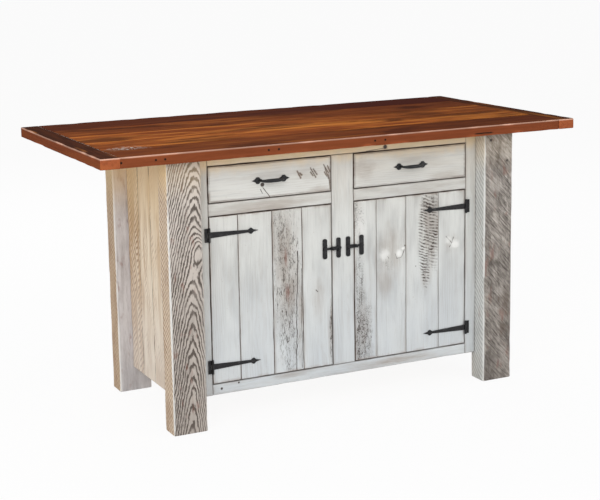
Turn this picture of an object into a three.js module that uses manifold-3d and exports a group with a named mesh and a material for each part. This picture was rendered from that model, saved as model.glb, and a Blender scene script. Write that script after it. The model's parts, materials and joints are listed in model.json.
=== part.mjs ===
// Kitchen island unit: a reclaimed-plank worktop with breadboard ends on four rough-sawn posts,
// with a face frame, two drawers over two ledged plank doors, and forged iron furniture.
// Millimetres. +X runs along the front, +Y to the back, +Z up; origin on the floor, under the
// middle of the worktop. "side" is -1 on the left of the unit and +1 on the right.

import * as THREE from 'three';
import { mergeVertices } from 'three/addons/utils/BufferGeometryUtils.js';
import Module from 'manifold-3d';

const wasm = await Module();
wasm.setup();

// ---------------------------------------------------------------- driving dimensions

const seat = 0.3;               // clearance left between pieces that are glued, screwed or rest together
const curveSteps = 6;           // facets of a curve in an outline
const rodFacets = 12;           // facets round a pin, rod or knob
const overlap = 1;              // how far joined parts of one piece reach into each other
const arrisSteps = 2;           // facets of an eased edge
const weldDistance = 1e-4;      // corners closer than this are one corner

const unitHeight = 914;
const topLength = 1727;
const topDepth = 864;
const topThick = 35;
const topArris = 3;             // rounding of the worktop's outer edges
const topPlankCount = 5;
const endBoardWidth = 64;       // breadboard ends
const tongueLength = 22;        // stub tongue of the planks in a breadboard end
const tongueThick = 12;
const tongueStop = 30;          // tongue and groove stop this far from the worktop's edges

const baseLength = 1280;        // over the outer faces of the posts
const baseDepth = 585;
const frontOverhang = 45;       // worktop in front of the posts; the rest hangs over the seats behind
const postWidth = 116;
const postDepth = 76;
const postArris = 4;

const frameRecess = 52;         // face frame behind the fronts of the posts
const frameThick = 20;
const frameBottom = 96;
const boardArris = 1.2;         // eased edge of rails, stiles and drawer fronts
const sideStileWidth = 42;
const centreStileWidth = 82;
const bottomRailWidth = 36;
const midRailWidth = 40;
const topRailWidth = 33;
const drawerOpeningHeight = 121;
const insetGap = 2.2;           // round an inset door or drawer front

const panelThick = 19;          // side and back boarding
const panelRecess = 50;         // boarding inside the outer faces of the posts
const panelBottom = 88;
const sideBoardCount = 4;
const backBoardCount = 9;
const veeWidth = 5;             // V groove where two boards meet
const veeDepth = 2;
const cleatWidth = 25;          // strips on the side boarding that carry floor, shelf, deck and top
const cleatThick = 20;

const floorThick = 19;
const shelfThick = 19;
const shelfHeight = 262;        // top of the shelf above the cupboard floor
const shelfSetback = 30;        // shelf behind the face frame, clear of the door ledges
const deckThick = 18;           // board that the drawers slide on
const guideWidth = 20;
const guideHeight = 30;

const drawerFrontThick = 20;
const drawerBoxDepth = 410;
const drawerBoxHeight = 100;
const drawerBoxRise = 5;        // box sides above the lower edge of the drawer front
const drawerSideThick = 12;
const drawerBottomThick = 6;
const drawerGrooveRise = 9;     // bottom groove above the lower edge of the sides
const drawerGrooveDepth = 6;
const tailCount = 3;            // dovetails at each front corner
const tailLength = 12;
const tailRoot = 17;
const tailEnd = 24;

const doorThick = 19;
const doorVee = 2;              // bevel along the edges of the door planks
const doorTongue = 5;
const doorTongueThick = 6;
const leftDoorPlanks = [101, 121, 108];     // from the hinge; the last plank takes what is left
const rightDoorPlanks = [109, 130, 115];
const ledgeWidth = 80;          // ledges and brace on the back of a door
const ledgeThick = 17;
const ledgeInset = 14;          // ledges short of the door's long edges
const braceWidth = 70;

const ironThick = 2.6;
const ironEdge = 0.5;           // hammered bevel of the plates
const hingeInset = 60;          // hinge centre from the top or bottom of the door opening
const leafHeight = 45;
const leafWidth = 15;           // pin to the outer edge of the plate on the stile
const knuckleRadius = 4;
const pinRadius = 2.4;
const pinHeadRadius = 3.4;
const pinHeadHeight = 1.6;
const strapLength = 171;        // pin to tip
const strapRootHeight = 20;
const strapNeckHeight = 10;
const middleKnuckle = 16;
const spadeLength = 40;         // spear end of a strap
const spadeHeight = 21;
const spadeWidest = 17;         // from the neck to the widest place

const latchDrop = 151;          // latch centre below the top of the door opening
const latchPlateWidth = 17;
const latchPlateHeight = 68;
const latchPlateSetback = 28;   // door plate centre from the edge of the opening
const keeperSetback = 23;       // keeper centre from the edge of the opening
const latchPivotRadius = 3.2;
const latchPivotHead = 5;
const latchPivotHeadThick = 1.8;
const latchPlateRound = 6;
const latchBarThick = 3.6;
const latchBarHeight = 7.5;
const latchTongueHeight = 12;   // the bar broadens where it drops into the keeper
const latchTail = 7;            // rounded end of the bar round its pivot
const latchNose = 9;            // bar past the keeper's centre
const latchKnobPlace = 25;      // from the pivot
const latchKnobRadius = 4.6;
const latchKnobStem = 2;
const latchKnobReach = 14;
const hookWidth = 9;
const hookThick = 3;
const hookPlay = 1.2;           // between the bar and the lip in front of it
const hookRise = 6;             // lip above the lower edge of the bar

const pullSpacing = 92;         // centre to centre of the two leaf ends
const pullBulb = 23;
const pullTip = 21;             // bulb centre to tip
const pullReach = 27;           // grip's centreline from the drawer front
const pullGrip = 9;             // across the middle of the grip
const pullEnd = 5.5;            // across the ends of the bow
const bowSteps = 22;            // rings along the bow
const bowSides = 10;            // corners of a ring
const bowSquareness = 0.62;     // below 1, the bow is flatter in front and steeper at its ends

const headFlare = 0.37;         // spear and leaf ends: share of the swell where the neck turns outwards
const headShoulder = 0.4;       // share of the taper over which the widest part is held
const headTipPlace = 0.5;       // share of the taper where the tip draws out
const headTipHeight = 0.2;      // height there, as a share of the widest
const knobSteps = 8;            // facets of a knob from stem to crown

// ---------------------------------------------------------------- places worked out from them

const topUnderside = unitHeight - topThick;
const halfBase = baseLength / 2;
const frontY = frontOverhang - topDepth / 2;
const backY = frontY + baseDepth;
const frameHalf = halfBase - postWidth;
const frameFront = frontY + frameRecess;
const frameBack = frameFront + frameThick;
const openingOuter = frameHalf - sideStileWidth;
const openingInner = centreStileWidth / 2;
const openingWidth = openingOuter - openingInner;
const openingCentre = (openingOuter + openingInner) / 2;
const doorSill = frameBottom + bottomRailWidth;
const drawerLintel = topUnderside - topRailWidth;
const drawerSill = drawerLintel - drawerOpeningHeight;
const doorLintel = drawerSill - midRailWidth;
const panelOuterX = halfBase - panelRecess;
const panelInnerX = panelOuterX - panelThick;
const backPanelOuter = backY - panelRecess;
const backPanelInner = backPanelOuter - panelThick;
const sideBayFront = frontY + postDepth + seat;
const sideBayBack = backY - postDepth - seat;
const innerBack = backPanelInner - seat;
const floorTop = doorSill;
const shelfTop = floorTop + shelfHeight;
const boxBottom = drawerSill + insetGap + drawerBoxRise;
const deckTop = boxBottom - seat;
const doorOpeningHeight = doorLintel - doorSill;
const latchHeight = doorLintel - latchDrop;
const plateFront = seat + ironThick;      // iron plates lie this far out from the wood
const barBack = plateFront + seat;
const barFront = barBack + latchBarThick;

// ---------------------------------------------------------------- materials

const finish = (color, roughness, metalness = 0) =>
  new THREE.MeshStandardMaterial({ color, roughness, metalness });

const topWood = finish(0x8a3f1e, 0.35);
const endWood = finish(0x4a2415, 0.4);
const paleWood = finish(0xc9c3b8, 0.75);
const postWood = finish(0xaaa299, 0.85);
const sideWood = finish(0xb9a382, 0.8);
const innerWood = finish(0xc8ab7e, 0.7);
const iron = finish(0x1c1c1d, 0.55, 0.8);

// ---------------------------------------------------------------- shape tools

const island = new THREE.Group();

/** Puts one named piece in a group. */
function addPiece(parent, name, geometry, material, place = [0, 0, 0]) {
  const piece = new THREE.Mesh(geometry, material);
  piece.name = name;
  piece.position.set(...place);
  parent.add(piece);
  return piece;
}

/** A group at a place, inside another group. */
function addGroup(parent, x, y, z) {
  const group = new THREE.Group();
  group.position.set(x, y, z);
  parent.add(group);
  return group;
}

/** Left or right, for a piece's name. */
const sideName = side => (side < 0 ? 'left' : 'right');

/** The stretch between two distances from the middle, on one side of it, low value first. */
const spanOn = (side, near, far) => (side < 0 ? [-far, -near] : [near, far]);

/** A list made by calling "make" with 0, 1, 2 and so on. */
const series = (count, make) => Array.from({ length: count }, (_, i) => make(i));

/** Closed outline through points. */
const outline = points => new THREE.Shape(points.map(point => new THREE.Vector2(...point)));

/** Rectangle from (a0, b0) to (a1, b1) with its four corners rounded, from the lower left round. */
function softRectangle(a0, a1, b0, b1, radii) {
  const [lowLeft, lowRight, highRight, highLeft] =
    typeof radii === 'number' ? [radii, radii, radii, radii] : radii;
  const quarter = Math.PI / 2;
  const shape = new THREE.Shape();
  const corner = (a, b, radius, start) => {
    if (radius > 0) shape.absarc(a, b, radius, start, start + quarter, false);
    else shape.lineTo(a, b);
  };
  shape.moveTo(a0 + lowLeft, b0);
  corner(a1 - lowRight, b0 + lowRight, lowRight, -quarter);
  corner(a1 - highRight, b1 - highRight, highRight, 0);
  corner(a0 + highLeft, b1 - highLeft, highLeft, quarter);
  corner(a0 + lowLeft, b0 + lowLeft, lowLeft, 2 * quarter);
  return shape;
}

/**
 * Prism of an outline along X, Y or Z between two values. The outline is drawn in (Y, Z), (X, Z)
 * or (X, Y). Its ends land exactly on the two values.
 */
function prism(shape, axis, from, to, curveSegments = curveSteps) {
  const geometry = new THREE.ExtrudeGeometry(shape, { depth: 1, bevelEnabled: false, curveSegments });
  const position = geometry.getAttribute('position');
  for (let i = 0; i < position.count; i += 1) {
    const a = position.getX(i);
    const b = position.getY(i);
    const far = position.getZ(i) > 0.5;
    if (axis === 'x') position.setXYZ(i, far ? to : from, a, b);
    else if (axis === 'y') position.setXYZ(i, a, far ? from : to, b);
    else position.setXYZ(i, a, b, far ? to : from);
  }
  geometry.computeVertexNormals();
  return geometry;
}

/** Plain block between two values along each axis. */
const block = (x, y, z) =>
  prism(outline([[x[0], y[0]], [x[1], y[0]], [x[1], y[1]], [x[0], y[1]]]), 'z', z[0], z[1]);

/** Board with eased long edges, running along one axis. */
const board = (axis, a, b, length, arris = boardArris) =>
  prism(softRectangle(a[0], a[1], b[0], b[1], arris), axis, length[0], length[1], arrisSteps);

/** Prism with its edges bevelled, as hammered plate has. */
function forged(shape, from, to, edge = ironEdge) {
  const geometry = new THREE.ExtrudeGeometry(shape, {
    depth: to - from - 2 * edge,
    bevelThickness: edge,
    bevelSize: edge,
    bevelOffset: -edge,
    bevelSegments: 1,
    curveSegments: curveSteps,
  });
  const position = geometry.getAttribute('position');
  for (let i = 0; i < position.count; i += 1) {
    position.setXYZ(i, position.getX(i), to - edge - position.getZ(i), position.getY(i));
  }
  return geometry;
}

/** Full circle as an outline. */
const circle = (a, b, radius) => new THREE.Shape().absarc(a, b, radius, 0, 2 * Math.PI, false);

/** Round bar along an axis between two values. */
const rod = (axis, a, b, radius, from, to) => prism(circle(a, b, radius), axis, from, to, rodFacets);

/** Revolved profile of [radius, height] pairs, its height pointing to the front of the unit. */
function turned(profile, x, y, z) {
  const points = profile.map(([radius, height]) => new THREE.Vector2(radius, height));
  return new THREE.LatheGeometry(points, rodFacets).rotateX(Math.PI).translate(x, y, z);
}

/** Closed tube through rings of points, each running anticlockwise about the way the tube goes. */
function loft(rings) {
  const sides = rings[0].length;
  const centre = ring => ring.reduce((sum, point) => sum.add(point), new THREE.Vector3())
    .divideScalar(sides);
  const points = [...rings.flat(), centre(rings[0]), centre(rings.at(-1))];
  const [startCentre, endCentre] = [points.length - 2, points.length - 1];
  const lastRing = (rings.length - 1) * sides;
  const index = [];
  for (let side = 0; side < sides; side += 1) {
    const next = (side + 1) % sides;
    index.push(startCentre, next, side);
    index.push(endCentre, lastRing + side, lastRing + next);
    for (let ring = 0; ring < rings.length - 1; ring += 1) {
      const low = ring * sides;
      const high = low + sides;
      index.push(low + side, low + next, high + next);
      index.push(low + side, high + next, high + side);
    }
  }
  const geometry = new THREE.BufferGeometry().setFromPoints(points);
  geometry.setIndex(index);
  geometry.computeVertexNormals();
  return geometry;
}

/** Closed geometry as a solid for boolean work. */
function solidOf(geometry) {
  const bare = geometry.clone();
  bare.deleteAttribute('normal');
  bare.deleteAttribute('uv');
  const merged = mergeVertices(bare, weldDistance);
  return new wasm.Manifold(new wasm.Mesh({
    numProp: 3,
    vertProperties: new Float32Array(merged.getAttribute('position').array),
    triVerts: new Uint32Array(merged.getIndex().array),
  }));
}

/** Solid back to a geometry. */
function geometryOf(solid) {
  const { vertProperties, triVerts } = solid.getMesh();
  const geometry = new THREE.BufferGeometry();
  geometry.setAttribute('position', new THREE.BufferAttribute(new Float32Array(vertProperties), 3));
  geometry.setIndex(new THREE.BufferAttribute(new Uint32Array(triVerts), 1));
  geometry.computeVertexNormals();
  return geometry;
}

/** Joins the first list of geometries and cuts the second list out of the result. */
function carve(joined, cut = []) {
  const whole = joined.map(solidOf).reduce((sum, solid) => sum.add(solid));
  return geometryOf(cut.map(solidOf).reduce((rest, solid) => rest.subtract(solid), whole));
}

/** What two geometries have in common. */
const common = (one, other) => geometryOf(solidOf(one).intersect(solidOf(other)));

// ---------------------------------------------------------------- worktop

/** Planks edge to edge, with a stub tongue across both ends. */
function addTopPlanks(top) {
  const width = topDepth / topPlankCount;
  const shoulder = topLength / 2 - endBoardWidth - seat;
  const tongueEnd = shoulder + tongueLength;
  const tongueLow = (topThick - tongueThick) / 2;
  for (let plank = 0; plank < topPlankCount; plank += 1) {
    const isFront = plank === 0;
    const isBack = plank === topPlankCount - 1;
    const front = -topDepth / 2 + plank * width + (isFront ? 0 : seat / 2);
    const back = -topDepth / 2 + (plank + 1) * width - (isBack ? 0 : seat / 2);
    const frontArris = isFront ? topArris : 0;
    const backArris = isBack ? topArris : 0;
    const radii = [frontArris, backArris, backArris, frontArris];
    const section = softRectangle(front, back, 0, topThick, radii);
    const tongue = block(
      [-tongueEnd, tongueEnd],
      [front + (isFront ? tongueStop : 0), back - (isBack ? tongueStop : 0)],
      [tongueLow, tongueLow + tongueThick],
    );
    const body = prism(section, 'x', -shoulder, shoulder);
    addPiece(top, `worktop_plank_${plank + 1}`, carve([body, tongue]), topWood);
  }
}

/** Breadboard end: a grooved board across the ends of the planks. */
function addEndBoard(top, side) {
  const inner = side * (topLength / 2 - endBoardWidth);
  const outer = side * topLength / 2;
  const [left, right] = [Math.min(inner, outer), Math.max(inner, outer)];
  const leftArris = side < 0 ? topArris : 0;
  const rightArris = side > 0 ? topArris : 0;
  const radii = [leftArris, rightArris, rightArris, leftArris];
  const acrossSection = softRectangle(left, right, 0, topThick, radii);
  const alongSection = softRectangle(-topDepth / 2, topDepth / 2, 0, topThick, topArris);
  const body = common(
    prism(acrossSection, 'y', -topDepth / 2, topDepth / 2),
    prism(alongSection, 'x', left - overlap, right + overlap),
  );
  const grooveFar = inner + side * tongueLength;
  const grooveNear = inner - side * overlap;
  const grooveLow = (topThick - tongueThick) / 2 - seat;
  const grooveEnd = topDepth / 2 - tongueStop + seat;
  const groove = block(
    [Math.min(grooveNear, grooveFar), Math.max(grooveNear, grooveFar)],
    [-grooveEnd, grooveEnd],
    [grooveLow, topThick - grooveLow],
  );
  addPiece(top, `worktop_end_${sideName(side)}`, carve([body], [groove]), endWood);
}

function addWorktop() {
  const top = addGroup(island, 0, 0, topUnderside);
  addTopPlanks(top);
  addEndBoard(top, -1);
  addEndBoard(top, 1);
}

// ---------------------------------------------------------------- posts and face frame

function addPosts() {
  const section = softRectangle(-postWidth / 2, postWidth / 2, -postDepth / 2, postDepth / 2, postArris);
  for (const [end, y] of [['front', frontY + postDepth / 2], ['back', backY - postDepth / 2]]) {
    for (const side of [-1, 1]) {
      const post = prism(section, 'z', 0, topUnderside - seat);
      const x = side * (halfBase - postWidth / 2);
      addPiece(island, `post_${end}_${sideName(side)}`, post, postWood, [x, y, 0]);
    }
  }
}

/** Outer stiles run full height, the rails fit between them, the centre stile between the rails. */
function addFaceFrame() {
  const frame = addGroup(island, 0, frameFront, 0);
  const depth = [0, frameThick];
  const railHalf = openingOuter - seat;
  const frameTop = topUnderside - seat;
  for (const side of [-1, 1]) {
    const stileSpan = spanOn(side, openingOuter, frameHalf - seat);
    const railSpan = spanOn(side, openingInner + seat, railHalf);
    const stile = board('z', stileSpan, depth, [frameBottom, frameTop]);
    const midRail = board('x', depth, [doorLintel, drawerSill], railSpan);
    addPiece(frame, `stile_${sideName(side)}`, stile, paleWood);
    addPiece(frame, `rail_mid_${sideName(side)}`, midRail, paleWood);
  }
  const centreSpan = [-openingInner, openingInner];
  const railSpan = [-railHalf, railHalf];
  const centre = board('z', centreSpan, depth, [doorSill + seat, drawerLintel - seat]);
  addPiece(frame, 'stile_centre', centre, paleWood);
  addPiece(frame, 'rail_bottom', board('x', depth, [frameBottom, doorSill], railSpan), paleWood);
  addPiece(frame, 'rail_top', board('x', depth, [drawerLintel, frameTop], railSpan), paleWood);
}

// ---------------------------------------------------------------- boarding and inner boards

/** Plan of upright boards side by side: flat inside, a V groove outside at every joint. */
function boardingPlan(from, to, count, place) {
  const width = (to - from) / count;
  const points = [[from, 0]];
  for (let joint = 1; joint < count; joint += 1) {
    const middle = from + joint * width;
    points.push([middle - veeWidth / 2, 0], [middle, veeDepth], [middle + veeWidth / 2, 0]);
  }
  points.push([to, 0], [to, panelThick], [from, panelThick]);
  return outline(points.map(([along, inwards]) => place(along, inwards)));
}

/** Side boarding with the strips that carry the cupboard floor, shelf, drawer deck and worktop. */
function addSidePanel(side) {
  const from = sideBayFront;
  const to = sideBayBack;
  const place = (along, inwards) => [side * (panelOuterX - inwards), along];
  const plan = boardingPlan(from, to, sideBoardCount, place);
  const boards = prism(plan, 'z', panelBottom, topUnderside - seat);
  const cleatTops = [
    floorTop - floorThick - seat,
    shelfTop - shelfThick - seat,
    deckTop - deckThick - seat,
    topUnderside - seat,
  ];
  const cleatSpan = spanOn(side, panelInnerX - cleatThick, panelInnerX + overlap);
  const cleats = cleatTops.map(top => block(cleatSpan, [from, to], [top - cleatWidth, top]));
  addPiece(island, `side_panel_${sideName(side)}`, carve([boards, ...cleats]), sideWood);
}

function addBackPanel() {
  const half = frameHalf - seat;
  const place = (along, inwards) => [along, backPanelOuter - inwards];
  const plan = boardingPlan(-half, half, backBoardCount, place);
  addPiece(island, 'back_panel', prism(plan, 'z', panelBottom, topUnderside - seat), paleWood);
}

/** Board across the inside of the cupboard, notched round the posts. */
function innerBoard(front, low, high) {
  const wide = panelInnerX - seat;
  const narrow = frameHalf - seat;
  return [
    block([-wide, wide], [Math.max(front, sideBayFront), sideBayBack], [low, high]),
    block([-narrow, narrow], [front, innerBack], [low, high]),
  ];
}

function addInnerBoards() {
  const front = frameBack + seat;
  const floor = carve(innerBoard(front, floorTop - floorThick, floorTop));
  const shelf = carve(innerBoard(frameBack + shelfSetback, shelfTop - shelfThick, shelfTop));
  const guideRise = [deckTop - overlap, deckTop + guideHeight];
  const boxOuter = openingOuter - insetGap + seat;
  const boxInner = openingInner + insetGap - seat;
  const deck = carve([
    ...innerBoard(front, deckTop - deckThick, deckTop),
    block([-boxInner, boxInner], [front, innerBack], guideRise),
    block(spanOn(-1, boxOuter, boxOuter + guideWidth), [front, innerBack], guideRise),
    block(spanOn(1, boxOuter, boxOuter + guideWidth), [front, innerBack], guideRise),
  ]);
  addPiece(island, 'cupboard_floor', floor, innerWood);
  addPiece(island, 'cupboard_shelf', shelf, innerWood);
  addPiece(island, 'drawer_deck', deck, innerWood);
}

// ---------------------------------------------------------------- drawers

/** Dovetails down one front corner of a drawer, as (Y, Z) outlines; sockets are the same, grown. */
function dovetails(low, grow) {
  const pitch = drawerBoxHeight / tailCount;
  const root = tailRoot / 2 + grow;
  const end = tailEnd / 2 + grow;
  const near = drawerFrontThick + seat + overlap;
  const far = drawerFrontThick + seat - tailLength - grow;
  return series(tailCount, tail => {
    const middle = low + pitch / 2 + tail * pitch;
    const lower = [[far, middle - end], [near, middle - root]];
    const upper = [[near, middle + root], [far, middle + end]];
    return outline([...lower, ...upper]);
  });
}

function addDrawer(side) {
  const drawer = addGroup(island, side * openingCentre, frameFront, drawerSill);
  const name = `drawer_${sideName(side)}`;
  const half = openingWidth / 2 - insetGap;
  const inner = half - drawerSideThick;
  const low = insetGap + drawerBoxRise;
  const high = low + drawerBoxHeight;
  const boxFront = drawerFrontThick + seat;
  const boxBack = boxFront + drawerBoxDepth;
  const grooveLow = low + drawerGrooveRise;
  const grooveHigh = grooveLow + drawerBottomThick + 2 * seat;
  const grooveHalf = inner + drawerGrooveDepth;

  const face = board('x', [0, drawerFrontThick], [insetGap, drawerOpeningHeight - insetGap], [-half, half]);
  const sockets = [-1, 1].flatMap(end => dovetails(low, seat).map(socket =>
    prism(socket, 'x', ...spanOn(end, inner - seat, half + overlap))));
  const faceGroove = block(
    [-grooveHalf, grooveHalf],
    [drawerFrontThick - drawerGrooveDepth, boxFront],
    [grooveLow, grooveHigh],
  );
  addPiece(drawer, `${name}_front`, carve([face], [...sockets, faceGroove]), paleWood);

  for (const end of [-1, 1]) {
    const wall = block(spanOn(end, inner, half), [boxFront, boxBack], [low, high]);
    const tails = dovetails(low, 0).map(tail => prism(tail, 'x', ...spanOn(end, inner, half)));
    const groove = block(
      spanOn(end, inner - overlap, grooveHalf),
      [drawerFrontThick - drawerGrooveDepth, boxBack + overlap],
      [grooveLow, grooveHigh],
    );
    const place = end === side ? 'outer' : 'inner';
    addPiece(drawer, `${name}_side_${place}`, carve([wall, ...tails], [groove]), innerWood);
  }

  const bottomLow = grooveLow + seat;
  const bottomHigh = bottomLow + drawerBottomThick;
  const bottomHalf = grooveHalf - seat;
  const bottom = block(
    [-bottomHalf, bottomHalf],
    [drawerFrontThick - drawerGrooveDepth + seat, boxBack],
    [bottomLow, bottomHigh],
  );
  const back = block(
    [-(inner - seat), inner - seat],
    [boxBack - drawerSideThick, boxBack],
    [bottomHigh + seat, high],
  );
  addPiece(drawer, `${name}_bottom`, bottom, innerWood);
  addPiece(drawer, `${name}_back`, back, innerWood);
  addPull(drawer, name);
}

/**
 * Rounded head with a drawn-out tip, added to an outline from the lower edge of its neck round to
 * the upper edge. "at" turns a distance along the head and a height into the outline's axes.
 */
function addHead(shape, at, start, neck, widest, bulb, tip) {
  const curve = (...points) => shape.bezierCurveTo(...points.flatMap(([u, z]) => at(u, z)));
  const flare = start + headFlare * (widest - start);
  const shoulder = widest + headShoulder * (tip - widest);
  const draw = widest + headTipPlace * (tip - widest);
  const drawHeight = headTipHeight * bulb;
  curve([flare, -neck], [flare, -bulb], [widest, -bulb]);
  curve([shoulder, -bulb], [draw, -drawHeight], [tip, 0]);
  curve([draw, drawHeight], [shoulder, bulb], [widest, bulb]);
  curve([flare, bulb], [flare, neck], [start, neck]);
}

/** Flat leaf at one end of a pull, as an (X, Z) outline; its tip points "way". */
function leafEnd(way) {
  const neck = pullEnd / 2;
  const bulb = pullBulb / 2;
  const start = -bulb - neck;
  const at = (u, z) => [way * (pullSpacing / 2 + u), z];
  const shape = new THREE.Shape();
  shape.moveTo(...at(start, -neck));
  addHead(shape, at, start, neck, 0, bulb, pullTip);
  return shape;
}

/** Bow pull: two leaf ends and a grip that arches between them, thickest in the middle. */
function addPull(drawer, name) {
  const bowHalf = pullSpacing / 2 - pullEnd;
  const rings = series(bowSteps + 1, step => {
    const angle = Math.PI * step / bowSteps;
    const along = -Math.sign(Math.cos(angle)) * Math.abs(Math.cos(angle)) ** bowSquareness * bowHalf;
    const out = Math.sin(angle) ** bowSquareness * pullReach;
    const lean = Math.atan2(Math.cos(angle), Math.sin(angle));
    const swell = Math.sin(angle) ** 2;
    const across = (pullEnd + (pullGrip - pullEnd) * swell) / 2;
    const thick = pullEnd / 2;
    return series(bowSides, point => {
      const turn = 2 * Math.PI * point / bowSides;
      const radial = Math.cos(turn) * thick;
      return new THREE.Vector3(
        along - Math.sin(lean) * radial,
        -(out + plateFront - thick) - Math.cos(lean) * radial,
        -Math.sin(turn) * across,
      );
    });
  });
  const leaves = [-1, 1].map(way => forged(leafEnd(way), -plateFront, -seat));
  const pull = carve([...leaves, loft(rings)]);
  addPiece(drawer, `${name}_pull`, pull, iron, [0, 0, drawerOpeningHeight / 2]);
}

// ---------------------------------------------------------------- doors

/** Plan of one tongued and grooved door plank from "from" to "to", measured from the hinge side. */
function plankPlan(side, from, to, hasGroove, hasTongue) {
  const middle = doorThick / 2;
  const tongue = doorTongueThick / 2;
  const groove = tongue + seat;
  const points = [[from, doorVee], [from + doorVee, 0], [to - doorVee, 0], [to, doorVee]];
  if (hasTongue) {
    const tip = to + doorTongue;
    const [front, back] = [middle - tongue, middle + tongue];
    points.push([to, front], [tip, front], [tip, back], [to, back]);
  }
  points.push([to, doorThick], [from, doorThick]);
  if (hasGroove) {
    const deep = from + doorTongue + seat;
    const [front, back] = [middle - groove, middle + groove];
    points.push([from, back], [deep, back], [deep, front], [from, front]);
  }
  return outline(points.map(([u, v]) => [-side * u, v]));
}

/** Two ledges and a diagonal brace across the back of a door. */
function ledgesAndBrace(side) {
  const left = ledgeInset;
  const right = openingWidth - ledgeInset;
  const low = hingeInset;
  const high = doorOpeningHeight - hingeInset;
  const half = ledgeWidth / 2;
  const ledge = middle => {
    const [under, over] = [middle - half, middle + half];
    return [[left, under], [right, under], [right, over], [left, over]];
  };
  const lowEnd = low + half - overlap;
  const highEnd = high - half + overlap;
  const braceFoot = [[left, lowEnd], [left + braceWidth, lowEnd]];
  const braceHead = [[right, highEnd], [right - braceWidth, highEnd]];
  const back = doorThick + seat;
  return carve([ledge(low), ledge(high), [...braceFoot, ...braceHead]].map(points =>
    prism(outline(points.map(([u, z]) => [-side * u, z])), 'y', back, back + ledgeThick)));
}

function addDoor(side) {
  const door = addGroup(island, side * openingOuter, frameFront, doorSill);
  const name = `door_${sideName(side)}`;
  const joints = (side < 0 ? leftDoorPlanks : rightDoorPlanks)
    .reduce((places, width) => [...places, places.at(-1) + width], [0]);
  const last = joints.length - 1;
  joints.forEach((joint, plank) => {
    const from = plank === 0 ? insetGap : joint + seat / 2;
    const to = plank === last ? openingWidth - insetGap : joints[plank + 1] - seat / 2;
    const plan = plankPlan(side, from, to, plank > 0, plank < last);
    const geometry = prism(plan, 'z', insetGap, doorOpeningHeight - insetGap);
    addPiece(door, `${name}_plank_${plank + 1}`, geometry, paleWood);
  });
  addPiece(door, `${name}_brace`, ledgesAndBrace(side), innerWood);
  for (const [end, height] of [['lower', hingeInset], ['upper', doorOpeningHeight - hingeInset]]) {
    addHinge(door, side, `hinge_${sideName(side)}_${end}`, height);
  }
  addLatch(side);
}

// ---------------------------------------------------------------- strap hinges

/** Tapered strap ending in a spear, as an (X, Z) outline from the pin. */
function strapOutline(side) {
  const start = knuckleRadius + seat;
  const neckAt = strapLength - spadeLength;
  const widest = neckAt + spadeWidest;
  const [root, neck, bulb] = [strapRootHeight / 2, strapNeckHeight / 2, spadeHeight / 2];
  const shape = new THREE.Shape();
  const at = (u, z) => [-side * u, z];
  shape.moveTo(...at(start, -root));
  shape.lineTo(...at(neckAt, -neck));
  addHead(shape, at, neckAt, neck, widest, bulb, strapLength);
  shape.lineTo(...at(start, root));
  return shape;
}

/** Plate on the stile with two knuckles and the pin, and a strap on the door with the third. */
function addHinge(door, side, name, height) {
  const hinge = addGroup(door, 0, 0, height);
  const pinY = -(seat + knuckleRadius);
  const plate = [-plateFront, -seat];
  const half = leafHeight / 2;
  const middle = middleKnuckle / 2;
  const gap = middle + seat;
  const shoulder = knuckleRadius + seat;

  const leafPlate = softRectangle(...spanOn(side, shoulder, leafWidth), -half, half, ironThick / 2);
  const leafParts = [forged(leafPlate, ...plate), rod('z', 0, pinY, pinRadius, -half - seat, half + seat)];
  for (const [low, high] of [[-half, -gap], [gap, half]]) {
    leafParts.push(rod('z', 0, pinY, knuckleRadius, low, high));
    leafParts.push(block(spanOn(side, 0, shoulder + overlap), plate, [low + ironEdge, high - ironEdge]));
  }
  leafParts.push(rod('z', 0, pinY, pinHeadRadius, half, half + pinHeadHeight));
  leafParts.push(rod('z', 0, pinY, pinHeadRadius, -half - pinHeadHeight, -half));
  addPiece(hinge, `${name}_leaf`, carve(leafParts), iron);

  const strap = carve([
    forged(strapOutline(side), ...plate),
    rod('z', 0, pinY, knuckleRadius, -middle, middle),
    block(spanOn(-side, 0, shoulder + overlap), plate, [-middle, middle]),
  ], [rod('z', 0, pinY, pinRadius + seat, -middle - overlap, middle + overlap)]);
  addPiece(hinge, `${name}_strap`, strap, iron);
}

// ---------------------------------------------------------------- bar latches

/** Upright iron plate with rounded ends, centred on the bar. */
const latchPlate = () => forged(
  softRectangle(-latchPlateWidth / 2, latchPlateWidth / 2, -latchPlateHeight / 2, latchPlateHeight / 2,
    latchPlateRound),
  -plateFront,
  -seat,
);

/** Round knob on a stem: [radius, height] pairs from the bar outwards. */
function knobProfile() {
  const ballCentre = latchKnobReach - latchKnobRadius;
  const start = Math.asin(latchKnobStem / latchKnobRadius);
  const ball = series(knobSteps, step => {
    const angle = start + (Math.PI - start) * step / knobSteps;
    return [latchKnobRadius * Math.sin(angle), ballCentre - latchKnobRadius * Math.cos(angle)];
  });
  return [[0, -overlap], [latchKnobStem, -overlap], ...ball, [0, latchKnobReach]];
}

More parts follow.
